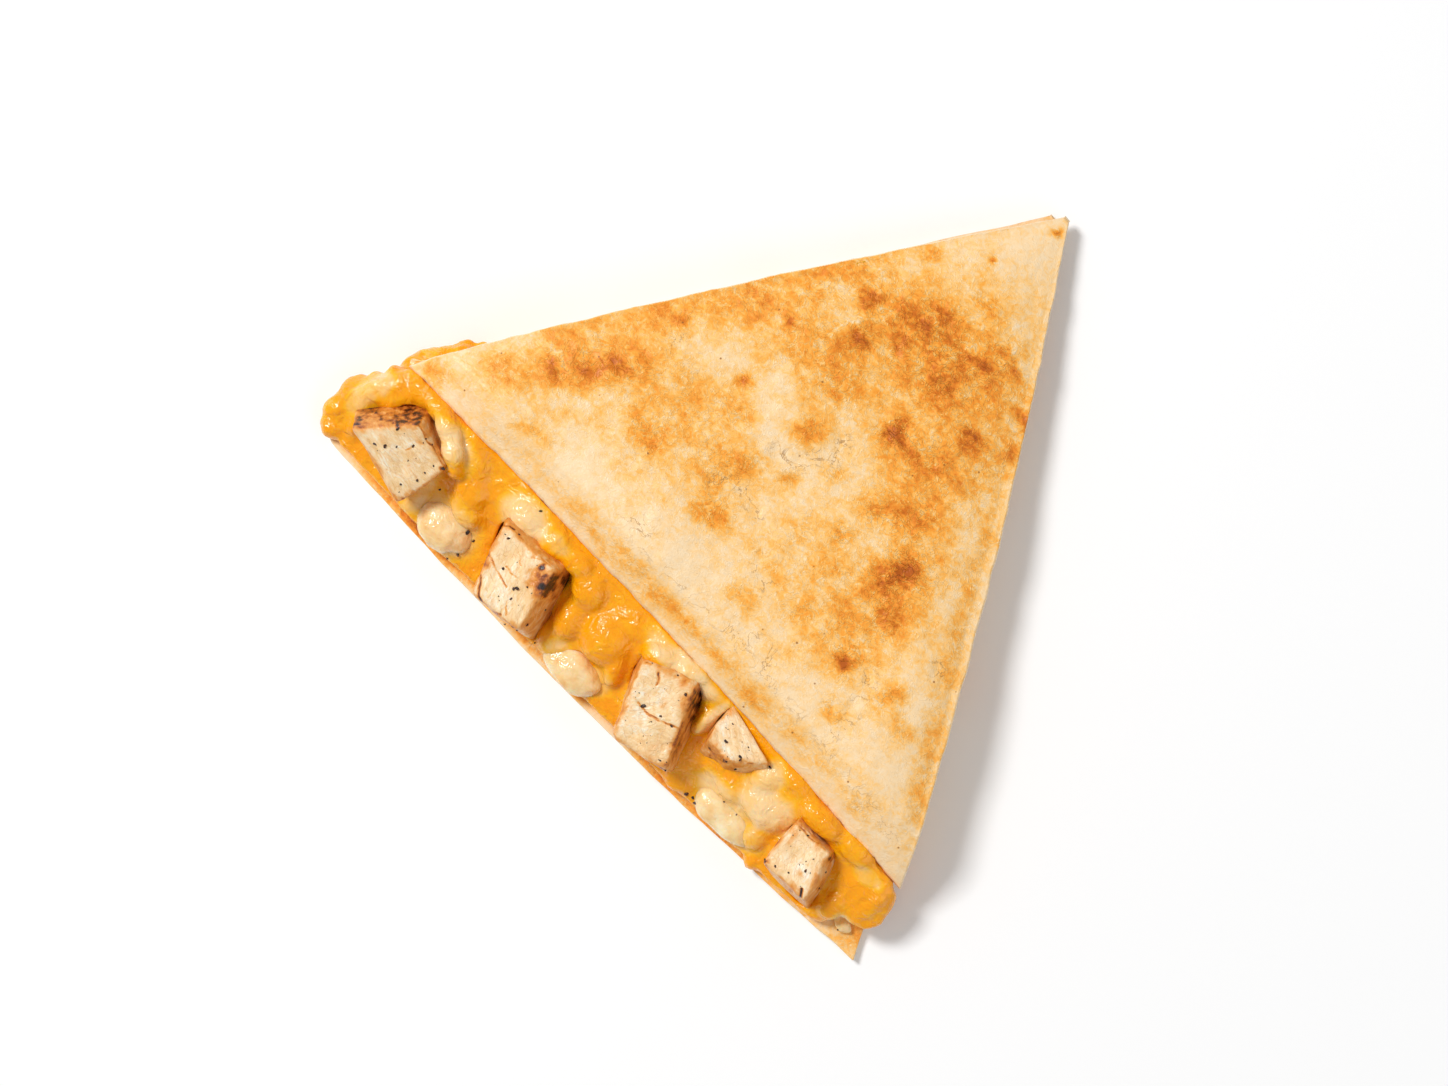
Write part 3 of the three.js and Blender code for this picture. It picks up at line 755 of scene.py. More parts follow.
chicken_pieces = []
for number, dice in enumerate(SHOWN_DICE):
    piece, unit = add_dice(f"chicken_breast_dice_{number + 1}", SHOWN_DIVISIONS)
    points, unit = stretch_dice(unit, dice, DICE_SEED + number)
    a, b, c, d = (np.array(corner, float) for corner in dice["face"])
    width = np.linalg.norm(c - a) / math.sqrt(2)
    local = unit * width + number * 31.0
    turned = keep_grain(piece, local, dice["grain"])
    # Torn fibres and soft dents, and a few deeper partings along the fibres.
    relief = 0.55 * waves(turned, 5, 2.3) + 0.16 * waves(turned, (3, 1.4, 1.4), 7.7)
    relief -= 1.2 * np.clip(waves(turned, (7, 1.8, 1.8), 4.1) - 0.4, 0, 1)
    wandered = points[:, :2] + 0.3 * wander(points, 1.8, 1.2, 6.3)
    cracks = np.zeros(len(points))
    for line, half_width, strength in dice["cracks"]:
        far = along_lines(wandered, [line]) / half_width / 1.15
        cracks = np.maximum(cracks, strength * np.exp(-(far**2)))
    # They fade down the sides.
    cracks *= np.clip(1.25 - (points[:, 2].max() - points[:, 2]) / 9, 0.2, 1)
    relief -= 0.35 * cracks
    middle = points.mean(0)
    outward = points - middle
    outward /= np.linalg.norm(outward, axis=1)[:, None]
    points = under_upper(points + outward * relief[:, None], 0.1)
    points[:, 2] = np.maximum(points[:, 2], FOOT - 0.2)
    move_points(piece, points)
    # How seared: each side has its own share, which fades on to the cut upper
    # face, and the char lies where the grill bars and the torn edges were.
    edge = 0.5 - np.abs(unit)
    browned_side = np.zeros(len(points))
    for side, axis, sign in (("left", 0, -1), ("right", 0, 1), ("front", 1, -1), ("back", 1, 1)):
        on_side = np.clip((unit[:, axis] * sign - 0.40) / 0.075, 0, 1)
        browned_side = np.maximum(browned_side, dice["sides"][side] * on_side**2)
    browned_side *= 0.8 + 0.6 * waves(turned, 4.5, 3.3) + 0.2 * np.clip(unit[:, 2] * 4, 0, 1)
    from_rim = np.minimum(edge[:, 0], edge[:, 1]) * width
    rim = np.exp(-((from_rim / 0.5) ** 2)) * (unit[:, 2] > 0.45)
    rim *= np.clip(0.3 + 2.0 * waves(turned, 3.2, 5.5), 0, 1)
    stains = 0.3 * np.clip(waves(turned, 3.6, 8.8) - 0.2, 0, 1) * 2
    golden = 0.3 * np.exp(-((from_rim / 1.7) ** 2)) * (1 + waves(turned, 3, 2.9))
    values = np.maximum(np.maximum(browned_side, 0.6 * rim), np.maximum(stains, cracks))
    values = np.maximum(values, golden)
    wandered = points[:, :2] + 0.6 * wander(points, 1.6, 4.2, 9.3)
    wandered += 0.5 * wander(points, 0.8, 2.2, 6.3)
    for u, v, radius, strength in dice["char"]:
        far = np.hypot(wandered[:, 0] - u, wandered[:, 1] - v) / radius
        values = np.maximum(values, strength * np.exp(-((far / 1.12) ** 2)))
    paint(piece, "sear", values)
    piece.data.materials.append(chicken_meat)
    bpy.ops.object.shade_smooth()
    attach(piece, "root")
    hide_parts(f"chicken_dice_{number + 1}")
    chicken_pieces.append(piece)

for number, cut in enumerate(CUT_DICE):
    corner, run, outward = cut_side(cut)
    centre = corner + run * cut["along"] - outward * 4
    turn = math.radians(cut["turn"])
    # A little larger than the frame's, so that it meets the cheese with no gap.
    axis_a = np.array([math.cos(turn), math.sin(turn)]) * (cut["size"][0] + CUT_OVERSIZE) / 2
    axis_b = np.array([-math.sin(turn), math.cos(turn)]) * (cut["size"][1] + CUT_OVERSIZE) / 2
    dice = {
        "face": [centre + a * axis_a + b * axis_b for a, b in ((-1, -1), (1, -1), (1, 1), (-1, 1))],
        "top": FOOT + cut["size"][2],
        "slope": (0, 0),
        "shift": (0, 0),
        "flare": 1.08,
    }
    seed = DICE_SEED + len(SHOWN_DICE) + number
    piece, unit = add_dice(f"chicken_breast_dice_{len(SHOWN_DICE) + number + 1}", CUT_DIVISIONS)
    points, unit = stretch_dice(unit, dice, seed)
    move_points(piece, under_upper(points, 0.1))
    # The knife that cut the wedge cut this piece too, flush with the side.
    on_cut = corner + run * cut["along"] - outward * 0.2
    edit_all()
    bpy.ops.mesh.bisect(
        plane_co=(np.append(on_cut, 0) - FRAME_MIDDLE) * MM,
        plane_no=(outward[0], outward[1], 0),
        use_fill=True,
        clear_outer=True,
    )
    bpy.ops.object.mode_set(mode="OBJECT")
    rebuild(piece, CUT_VOXEL)
    points = read_points(piece)
    turned = keep_grain(piece, points + 17.0 * number, cut["turn"] + 30)
    from_centre = points - np.append(centre, (FOOT + dice["top"]) / 2)
    inside = np.column_stack(
        [
            np.abs(from_centre[:, :2] @ axis_a) / np.linalg.norm(axis_a),
            np.abs(from_centre[:, :2] @ axis_b) / np.linalg.norm(axis_b),
            np.abs(from_centre[:, 2]),
        ]
    )
    to_edge = (np.array(cut["size"]) / 2 - inside).min(1)
    # Torn meat stands a little out of the cut or lies back in it, and its outer
    # edges are uneven.
    relief = 0.7 * waves(turned, 5, 2.3) + 0.35 * waves(turned, (5, 1.3, 1.3), 7.7) - 0.25
    points += np.append(outward, 0) * relief[:, None]
    points[:, 2] -= 0.3 * np.clip(from_centre[:, 2] / 3, 0, 1) * (1 + waves(turned, 5, 6.6))
    points[:, 2] -= 0.27 * np.clip(-from_centre[:, 2] / 3, 0, 1)
    move_points(piece, under_upper(points, 0.1))
    broken = np.clip(0.6 + 1.5 * waves(turned, 4, 9.1), 0, 1.3)
    values = 0.5 * np.exp(-((to_edge / 1.3) ** 2)) * broken
    values = np.maximum(values, 0.5 * np.clip(waves(turned, (6, 2, 2), 5.1), 0, 1))
    paint(piece, "sear", np.clip(values, 0, 0.95))
    piece.data.materials.append(chicken_meat)
    bpy.ops.object.shade_smooth()
    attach(piece, "root")
    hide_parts(f"chicken_dice_{len(SHOWN_DICE) + number + 1}")
    chicken_pieces.append(piece)

# White cheese lumps: grated white cheese that has softened into three glossy
# lumps along the front edge but hasn't run, resting on the lower tortilla.

WHITE_LUMPS = [
    {"place": (-51, -0.4), "size": (13.4, 11, 7.6), "turn": 8},
    {"place": (-7.4, -1.4), "size": (15, 9.8, 6.8), "turn": 3},
    {"place": (40.4, 0), "size": (16.5, 8.2, 6.2), "turn": -2},
]
LUMP_SEED = 21

# Melted white cheese: ivory, faintly translucent, with a wet film of milk fat.
white_cheese = new_material("melted_white_cheese")
here = add_node(white_cheese, "ShaderNodeTexCoord")
curds = add_node(
    white_cheese, "ShaderNodeTexNoise",
    {"Vector": (here, "Object"), "Scale": 1 / (4 * MM), "Detail": 3.0},
)
curd_colour = add_node(
    white_cheese, "ShaderNodeValToRGB",
    {"Fac": curds},
    stops=[(0.3, "eebc76"), (0.72, "fde8c0"), (0.5, "f8d59a")],
)
curd_ripples = add_node(
    white_cheese, "ShaderNodeTexNoise",
    {"Vector": (here, "Object"), "Scale": 1 / (1.6 * MM), "Detail": 2.0, "Distortion": 0.8},
)
curd_bump = add_node(
    white_cheese, "ShaderNodeBump", {"Height": curd_ripples, "Strength": 0.5, "Distance": 0.8 * MM}
)
curd = add_node(
    white_cheese, "ShaderNodeBsdfPrincipled",
    {
        "Base Color": curd_colour, "Roughness": 0.26, "IOR": 1.45, "Normal": curd_bump,
        "Coat Weight": 0.6, "Coat Roughness": 0.08, "Coat Normal": curd_bump,
        "Subsurface Weight": 0.5, "Subsurface Radius": (1.0, 0.7, 0.35),
        "Subsurface Scale": 2.5 * MM,
    },
)
add_node(white_cheese, "ShaderNodeOutputMaterial", {"Surface": curd})

lump_pieces = []
for number, lump in enumerate(WHITE_LUMPS):
    bpy.ops.mesh.primitive_ico_sphere_add(subdivisions=6, radius=0.5)
    piece = bpy.context.object
    piece.name = f"soft_white_cheese_{number + 1}"
    unit = raw_values(piece)
    factors = uneven_factors(unit, LUMP_SEED + number)
    body = unit * np.array(lump["size"], float) * np.column_stack(factors)
    swell = 1 + 0.16 * waves(body, 5, number * 7.1 + 0.4) + 0.05 * waves(body, 2.4, number * 3.3)
    body *= swell[:, None]
    turn = math.radians(lump["turn"])
    points = np.column_stack(
        [
            lump["place"][0] + body[:, 0] * math.cos(turn) - body[:, 1] * math.sin(turn),
            lump["place"][1] + body[:, 0] * math.sin(turn) + body[:, 1] * math.cos(turn),
            FOOT + lump["size"][2] / 2 * 1.035 + body[:, 2],
        ]
    )
    points[:, 2] = np.maximum(points[:, 2], FOOT - 0.1)
    move_points(piece, points)
    piece.data.materials.append(white_cheese)
    bpy.ops.object.shade_smooth()
    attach(piece, "root")
    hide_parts(f"white_cheese_lump_{number + 1}")
    lump_pieces.append(piece)

# Melted cheese: grated orange cheddar and white cheese that melted into one mass
# between the tortillas. It runs out in front in tongues and domes round the
# chicken, drips over the lower tortilla's corners, and shows at both cut sides.

# Tongues, domes and veils on top of the frame's cheese: U, V, height, half sizes, turn.
CHEESE_FLOWS = [
    (-84, 9, 6.6, 5, 6, 3.6, 10), (-82.5, 15.5, 8.5, 4, 4, 3.2, 0), (-87.5, 2, 4.4, 3.4, 5, 3.4, 0),
    (-86, -2.4, 3.6, 3.4, 2.4, 2.6, 0), (-89, 6.8, 4.2, 2.0, 2.6, 2.4, 0),
    (-82, 3, 6.2, 2.4, 4.6, 3, 0), (-76, 17.6, 11.6, 4.6, 3, 3, 0), (-70, 18, 14.2, 4, 2.8, 2.6, 0),
    (-66, 16.4, 16.6, 4.6, 2.8, 2.2, -20), (-61.6, 13.6, 17, 4, 2.6, 2.0, -30),
    (-58.6, 11.4, 14.6, 2.6, 2.6, 3, -30), (-57, 16.5, 12.8, 6.5, 4.2, 3.0, -40),
    (-53.4, 11.6, 11, 6, 4.6, 3.4, -50), (-50.6, 7.6, 9.2, 5.4, 4.2, 3.2, -30),
    (-47, 15, 11.2, 3, 3.6, 2.2, 0), (-39, 15.2, 12.4, 6, 4.8, 4.6, 0),
    (-31, 16, 14.2, 4.6, 3.6, 3.4, 0), (-25, 16.6, 14, 5.4, 3.2, 3, 0),
    (-18, 14.6, 12.6, 5.4, 4.6, 3.4, -30), (-16.4, 7.4, 9.4, 4.2, 6.5, 3.6, 10),
    (-15.6, 0.5, 6, 4.4, 4.4, 3.2, 0), (-7.4, 10.6, 9.6, 7.2, 8, 5.2, 10),
    (-5, 16.6, 12.4, 7, 3.6, 3.2, 0), (4.6, 15.2, 14.6, 5, 3, 3.0, 18),
    (11.4, 17.8, 14.8, 5, 2.6, 2.8, 18), (17.4, 18.4, 13.4, 4.4, 2.4, 2.6, 0),
    (-1.6, 7, 8.4, 2.6, 6, 4, 20), (21.4, 13.4, 10.4, 2.2, 5.6, 3.4, 5),
    (24, 4.4, 6.8, 4.2, 6, 3.4, 0), (27, -0.4, 5, 4.6, 4, 2.8, 0), (36.6, 6.6, 7.8, 5, 3.6, 2.9, 0),
    (40.8, 13.4, 11, 4, 4.4, 3.2, 0), (45.4, 9.4, 9.4, 7, 5.6, 3.9, -10),
    (46, 17.6, 13.2, 6, 2.8, 2.8, 0), (56, 15.6, 14.2, 6.4, 3.2, 3.2, 0),
    (66, 16.8, 13, 6, 3.2, 2.8, 0), (48.6, 4.4, 6.8, 3.6, 6, 3.4, 0),
    (73, 14.6, 10, 5, 3.8, 3.4, -20), (77, 8.6, 6.8, 4.6, 5, 3.9, 0),
    (72, 5.6, 6.8, 3.8, 5.6, 3.6, 0), (70.5, 0.8, 4.6, 3.4, 3, 2.4, 0),
    (77.2, 2.2, 2.9, 3.2, 1.9, 1.5, 0), (53, -1.4, 3.4, 2.6, 2.2, 2.2, 0),
    (-39.4, -0.6, 3.8, 5, 4.2, 2.0, 0), (-60.4, 1.6, 4.8, 3, 6, 2.6, 0),
    (-51, 0.8, 4.4, 8.6, 6.4, 4.2, 0), (-7.4, 0, 4.2, 9.4, 5.6, 3.8, 0),
    (40.6, 1.2, 4.2, 10.4, 5.2, 3.4, 0),
]
# Skirts of cheese that close round the foot of each shown dice, in the same terms.
CHEESE_FLOWS += [
    (-68, 8.6, 6, 11, 9, 5.4, 0), (-30, 8, 6, 10.4, 9, 5.2, 0), (12.8, 8, 6, 10.4, 11, 5.2, 20),
    (30.6, 12, 6.6, 9, 8.4, 4.6, 0), (59.4, 7.6, 5.8, 10, 8.4, 5.0, 0),
]
# Smears that the knife dragged over the cut chicken at the two cut sides: how far
# from the dice's middle, along the side, and what share of its height up.
SMEARS = [(-8.6, 0.2), (-8, 0.75), (-4.4, 0.02), (2.4, 1), (5.6, 0), (8.2, 0.5), (8.8, 0.9)]
SMEAR_SEED = 5
draw = seeded(SMEAR_SEED)
for cut in CUT_DICE:
    corner, run, outward = cut_side(cut)
    turn = math.degrees(math.atan2(run[1], run[0]))
    for across, up in SMEARS:
        from_middle = run / np.linalg.norm(run) * (across + 1.4 * next(draw))
        place = corner + run * cut["along"] + from_middle - outward * 0.5
        height = FOOT + cut["size"][2] * up
        half_along, half_height = 2.4 + 1.8 * next(draw), 1.5 + 0.9 * next(draw)
        CHEESE_FLOWS.append((place[0], place[1], height, half_along, 1.5, half_height, turn))
# Where the white cheese shows: U, V, half sizes, strength.
WHITE_AREAS = [
    (-39.5, 15, 6.8, 4.8, 1.0), (-31, 16.4, 4.5, 2.2, 0.55), (-64, 14.6, 8, 4.4, 0.92),
    (-84.6, 13, 3.4, 3.6, 0.8), (-85.6, 7.6, 3, 4.6, 0.72), (9.5, 17.5, 11.5, 3, 0.95),
    (22, 13.4, 2.2, 6, 0.9), (45, 8.5, 8.5, 6, 0.95), (41, 14, 4, 4, 0.85), (38, 2.6, 9, 4, 0.8),
    (49, 0.5, 4, 3.4, 0.6), (73, 14, 4.6, 2, 0.6), (-12.5, -1, 4, 2.8, 0.6),
    (-1.6, 0, 4, 3.4, 0.65), (-51, 0.4, 8.6, 6.4, 0.75), (-60.5, 1, 2.6, 7, 0.7),
    (77.2, 2.2, 4.2, 2.4, 0.95),
]
CHEESE_VOXEL = 0.5

# Cheddar and white cheese melted together: soft and translucent, deep orange where
# it is thick, with a glossy film of fat. The attribute white mixes the two.
melted = new_material("melted_cheddar_and_white_cheese")
here = add_node(melted, "ShaderNodeTexCoord")
white = add_node(melted, "ShaderNodeAttribute", attribute_name="white")
swirl = add_node(
    melted, "ShaderNodeTexNoise",
    {"Vector": (here, "Object"), "Scale": 1 / (5 * MM), "Detail": 3.0, "Distortion": 1.0},
)
swirl_centred = add_node(melted, "ShaderNodeMath", {0: swirl, 1: 0.5}, operation="SUBTRACT")
whiteness = add_node(
    melted, "ShaderNodeMath",
    {0: swirl_centred, 1: 0.9, 2: (white, "Fac")},
    operation="MULTIPLY_ADD",
)
cheese_colour = add_node(
    melted, "ShaderNodeValToRGB",
    {"Fac": whiteness},
    stops=[
        (0.0, "fca400"), (1.0, "fad49a"), (0.22, "feb40a"), (0.42, "fdb832"), (0.6, "fcc05a"),
        (0.8, "fbca7e"),
    ],
)
ripples = add_node(
    melted, "ShaderNodeTexNoise",
    {"Vector": (here, "Object"), "Scale": 1 / (2.6 * MM), "Detail": 2.6, "Distortion": 1.0},
)
ripple_bump = add_node(
    melted, "ShaderNodeBump", {"Height": ripples, "Strength": 0.6, "Distance": 1.2 * MM}
)
glints = add_node(
    melted, "ShaderNodeTexNoise",
    {"Vector": (here, "Object"), "Scale": 1 / (1.2 * MM), "Detail": 1.0, "Distortion": 0.6},
)
glint_bump = add_node(
    melted, "ShaderNodeBump",
    {"Height": glints, "Strength": 0.4, "Distance": 0.5 * MM, "Normal": ripple_bump},
)
cheese_surface = add_node(
    melted, "ShaderNodeBsdfPrincipled",
    {
        "Base Color": cheese_colour, "Roughness": 0.24, "IOR": 1.45, "Normal": ripple_bump,
        "Specular IOR Level": 0.35, "Coat Weight": 0.5, "Coat Roughness": 0.05,
        "Coat Normal": glint_bump, "Subsurface Weight": 0.4, "Subsurface Radius": (1.0, 0.6, 0.3),
        "Subsurface Scale": 1.6 * MM,
    },
)
add_node(melted, "ShaderNodeOutputMaterial", {"Surface": cheese_surface})


def merge(main, others):
    """Joins pieces into the main one."""
    bpy.ops.object.select_all(action="DESELECT")
    for piece in [main, *others]:
        piece.select_set(True)
    bpy.context.view_layer.objects.active = main
    bpy.ops.object.join()


def coarsen(piece, unseen, ratio):
    """Thins out the faces that are never seen, to a share of their number."""
    edit_all("DESELECT")
    bpy.ops.object.mode_set(mode="OBJECT")
    piece.data.vertices.foreach_set("select", unseen)
    bpy.ops.object.mode_set(mode="EDIT")
    bpy.ops.mesh.select_mode(type="VERT")
    bpy.ops.mesh.decimate(ratio=ratio)
    bpy.ops.object.mode_set(mode="OBJECT")


bpy.ops.object.select_all(action="DESELECT")
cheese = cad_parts["melted_cheese"].copy()
cheese.data = cheese.data.copy()
cheese.data.materials.clear()
cheese.name = "melted_cheese_filling"
cheese.parent = None
for key in list(cheese.keys()):
    del cheese[key]
bpy.context.scene.collection.objects.link(cheese)
cheese.select_set(True)
bpy.context.view_layer.objects.active = cheese
edit_all()
bpy.ops.mesh.remove_doubles(threshold=0.01 * MM)
bpy.ops.object.mode_set(mode="OBJECT")
flows = []
for u, v, height, along, across, half_height, turn in CHEESE_FLOWS:
    bpy.ops.mesh.primitive_uv_sphere_add(
        segments=28,
        ring_count=18,
        radius=MM,
        location=(np.array([u, v, height]) - FRAME_MIDDLE) * MM,
        rotation=(0, 0, math.radians(turn)),
        scale=(along, across, half_height),
    )
    flows.append(bpy.context.object)
merge(cheese, flows)
rebuild(cheese, CHEESE_VOXEL)
soften = cheese.modifiers.new("soften", "SMOOTH")
soften.factor = 0.6
soften.iterations = 14
bpy.ops.object.modifier_apply(modifier="soften")

# The broad faces against the tortillas are never seen, so they are made coarse.
points = read_points(cheese)
front, right, left = upper_insets(points)
hidden = (front > 6) & (right > 5) & (left > 5)
on_tortilla = (points[:, 2] < 2.9) & (inset_from(LOWER_FRONT, LOWER_RIGHT, points) > 4)
hidden |= on_tortilla & (points[:, 1] < 30) & (points[:, 0] > -70) & (points[:, 0] < 66)
coarsen(cheese, hidden, 0.08)

points = read_points(cheese)
normals = raw_values(cheese, "normal")
relief = 0.4 * waves(points, 8, 1.3) + 0.18 * waves(points, 3, 6.1)
relief += 0.5 * waves(points, 3, 2.7) * np.clip((np.abs(points[:, 0]) - 70) / 6, 0, 1)
# The knife pulled strings and left hollows in the two cut sides.
_, right, left = upper_insets(points)
near_cut = np.clip(1 - np.minimum(right, left) / 3, 0, 1) * np.clip((points[:, 1] - 24) / 8, 0, 1)
pulled = points * np.array([1, 1, 1.6])
hollows = 2.2 * np.clip(waves(pulled, 5, 3.7) + 0.1, 0, 1)
relief -= near_cut * (hollows + 0.35 * waves(pulled, 1.8, 8.9) - 0.15)
points = under_upper(points + normals * relief[:, None], 0.05)
on_lower = inset_from(LOWER_FRONT, LOWER_RIGHT, points) > 0.5
on_lower &= inset_from(LOWER_LEFT, LOWER_FRONT, points) > 0.5
points[:, 2] = np.maximum(points[:, 2], np.where(on_lower, TORTILLA + 0.15, 0.4))
move_points(cheese, points)
values = np.zeros(len(points))
wandered = points[:, :2] + 1.3 * wander(points, 6, 2.2, 7.9)
for u, v, along, across, strength in WHITE_AREAS:
    far = ((wandered[:, 0] - u) / along) ** 2 + ((wandered[:, 1] - v) / across) ** 2
    values = np.maximum(values, strength * np.exp(-(far**3)))
marbled = np.clip(0.35 + 1.1 * waves(points, 9, 4.7, 2), 0, 1)
values = np.where(points[:, 1] > 24, marbled, values)
paint(cheese, "white", values)
cheese.data.materials.append(melted)
bpy.ops.object.shade_smooth()
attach(cheese, "root")
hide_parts("melted_cheese")

# Upper tortilla: the same kind of tortilla, toasted on its upper side against the
# griddle and draped over the filling. It droops at the cut sides and folds down
# over the chicken at the open side.

# Toasted spots, the broad ones first: U, V, half sizes, how brown.
TOASTED_SPOTS = [
    (0, 107, 26, 15, 0.6), (17, 86, 15, 17, 0.48), (29, 60, 11, 19, 0.48), (-32, 56, 26, 14, 0.34),
    (-20, 90, 24, 12, 0.44), (12, 52, 16, 12, 0.26), (-62, 37, 13, 9, 0.28),
    (-56, 48.5, 6, 4.5, 0.6), (-57, 49, 12, 9, 0.36), (-50, 54, 8, 5, 0.5), (-59, 43.6, 6, 5, 0.52),
    (-46, 58.5, 6, 3.5, 0.42), (-47, 72, 3.5, 6, 0.42), (-38, 64, 4.5, 3.5, 0.38),
    (-27, 72, 3.5, 4, 0.5), (-24, 66, 7, 4.5, 0.36), (-33, 49, 8, 4.5, 0.4),
    (-22, 56, 4.5, 4, 0.34), (-14, 59, 5, 5, 0.45), (-9, 74, 4.5, 4, 0.5), (-4, 64, 3, 3, 0.42),
    (-11, 46, 5.5, 4, 0.5), (-66, 35, 6, 4.5, 0.36), (-52, 30.4, 7, 2.2, 0.36),
    (-77, 23, 3.5, 4, 0.38), (-16, 26.6, 8, 1.8, 0.26), (-5, 25.2, 6, 1.8, 0.32),
    (3, 24.6, 3.5, 1.7, 0.42), (13, 24.6, 5, 1.7, 0.32), (26, 23.6, 8, 1.8, 0.28),
    (59, 23, 3, 1.6, 0.34), (28.5, 66.5, 4, 5.5, 0.95), (28, 67, 8, 8.5, 0.6),
    (31, 58, 2.6, 4, 0.6), (35.5, 57, 3.5, 4, 0.5), (20, 75, 4.5, 3.5, 0.6),
    (14.5, 73.5, 5, 4, 0.54), (22, 80, 5, 4, 0.66), (13, 64.5, 3, 3, 0.55), (16, 58, 5, 4, 0.42),
    (7, 57.5, 3.5, 3, 0.36), (33.5, 46, 4.6, 4.6, 0.66), (32, 45, 1.8, 1.8, 0.78),
    (46, 46, 3.6, 3.8, 0.46), (53, 43, 4.5, 2.6, 0.34), (18, 45, 4.5, 4, 0.44),
    (7, 37.5, 4.2, 3.2, 0.38), (38.8, 34.8, 3.2, 2.6, 0.46), (27, 50.8, 1.1, 0.8, 0.62),
    (1, 72, 3, 3, 0.42), (-3, 110, 20, 11, 0.44), (-14, 108, 5, 4, 0.7), (-9, 103.5, 4, 3, 0.64),
    (-21, 105, 5, 4.5, 0.62), (8, 112.5, 6, 3, 0.66), (10, 118, 5, 2.2, 0.62),
    (-8, 115, 7, 3.5, 0.54), (4, 103.5, 3, 2, 0.72), (18, 100, 6, 4, 0.7), (22, 111.5, 5, 3, 0.58),
    (26, 103, 4, 6, 0.56), (5, 89, 4.5, 4.5, 0.86), (7, 88, 8, 6.5, 0.5), (-16, 97, 5, 3.6, 0.64),
    (-30, 99, 4, 5, 0.42), (-3, 147, 1.4, 1.4, 0.74), (-8.5, 132, 1.2, 1.2, 0.6),
    (-19, 122, 3, 3, 0.5), (-31, 89, 5, 2.6, 0.52), (-38, 85, 5, 4, 0.4), (-12, 87, 4, 3.6, 0.46),
    (-23, 83, 4, 2.6, 0.42), (37, 88, 4, 4, 0.38), (-2, 124, 5, 2.4, 0.48),
]
# Creases where the cooled tortilla has folded a little: points along each one. The
# first is the fold where it bends down over the chicken.
CREASES = [
    [(-24, 30.8), (-8, 29.8), (8, 30), (24, 29), (42, 28.2), (58, 26.6), (70, 24.4)],
    [(-3, 79), (-1, 77), (-0.6, 74.6)],
    [(-3, 73.5), (-4.6, 70), (-5, 68), (-8, 66), (-11, 66.4)],
    [(-16, 51.5), (-13, 53.6), (-8.5, 55.2), (-6, 54), (-3, 51.6)],
    [(10, 30.4), (13, 32), (17, 33.5), (20, 33.7)],
    [(43.6, 36.4), (43.4, 33.4), (42.2, 29.8)],
    [(39.6, 46), (41.4, 42.4), (41.8, 38)],
    [(-44, 67.4), (-43, 65.6), (-39.6, 66.4)],
    [(4, 46.4), (6.4, 44), (9.4, 43.6)],
    [(-22, 33), (-18, 31.6), (-14, 31)],
    [(20, 33.6), (22, 30.2)],
    [(49, 58.6), (51, 56)],
]


def toast_at(points):
    """How brown the toasted side is, 0 to 1: the spots, and rims that touched the griddle."""
    total = np.zeros(len(points))
    flat = points * np.array([1, 1, 0])
    wandered = points[:, :2] + 1.8 * wander(flat, 6, 1.9, 5.4) + 0.9 * wander(flat, 2.4, 3.6, 8.2)
    for u, v, along, across, brown in TOASTED_SPOTS:
        far = ((wandered[:, 0] - u) / along) ** 2 + ((wandered[:, 1] - v) / across) ** 2
        total += (brown * np.exp(-far)) ** 3
    _, right, left = upper_insets(points)
    right_rim = np.exp(-(((right - 1.5) / 3.2) ** 2))
    right_rim *= np.clip((points[:, 1] - 22) / 12, 0, 1) * np.clip((100 - points[:, 1]) / 12, 0, 1)
    left_rim = np.exp(-(((left - 2) / 8) ** 2))
    left_rim *= np.clip((points[:, 1] - 36) / 14, 0, 1) * np.clip((124 - points[:, 1]) / 16, 0, 1)
    fold = np.exp(-(((points[:, 1] - 24.5) / 2.8) ** 2)) * np.exp(-((points[:, 0] / 55) ** 4))
    total += (0.28 * right_rim) ** 3 + (0.34 * left_rim) ** 3 + (0.22 * fold) ** 3
    return 0.15 + 0.9 * np.cbrt(total)


def crease_depth(points):
    """0 to 1: how close a point is to a crease."""
    depth = np.exp(-((along_lines(points, CREASES[1:]) / 2.2) ** 2))
    return np.maximum(depth, 0.6 * np.exp(-((along_lines(points, CREASES[:1]) / 1.8) ** 2)))


upper, is_top = add_sheet(
    "upper_flour_tortilla",
    268,
    240,
    lambda share: sides_between(UPPER_LEFT, UPPER_RIGHT, -UPPER_BOW, share),
    lambda share: sides_between(UPPER_LEFT, UPPER_TIP, -1.4, share),
    lambda share: sides_between(UPPER_RIGHT, UPPER_TIP, 2.2, share),
    TORTILLA,
)
points = read_points(upper)
flat = points * np.array([1, 1, 0])
points[:, 0] += 0.28 * waves(flat, 6, 2.1) + 0.12 * waves(flat, 1.9, 3.1)
points[:, 1] += 0.28 * waves(flat, 6, 9.4) + 0.14 * waves(flat, 1.9, 6.4)
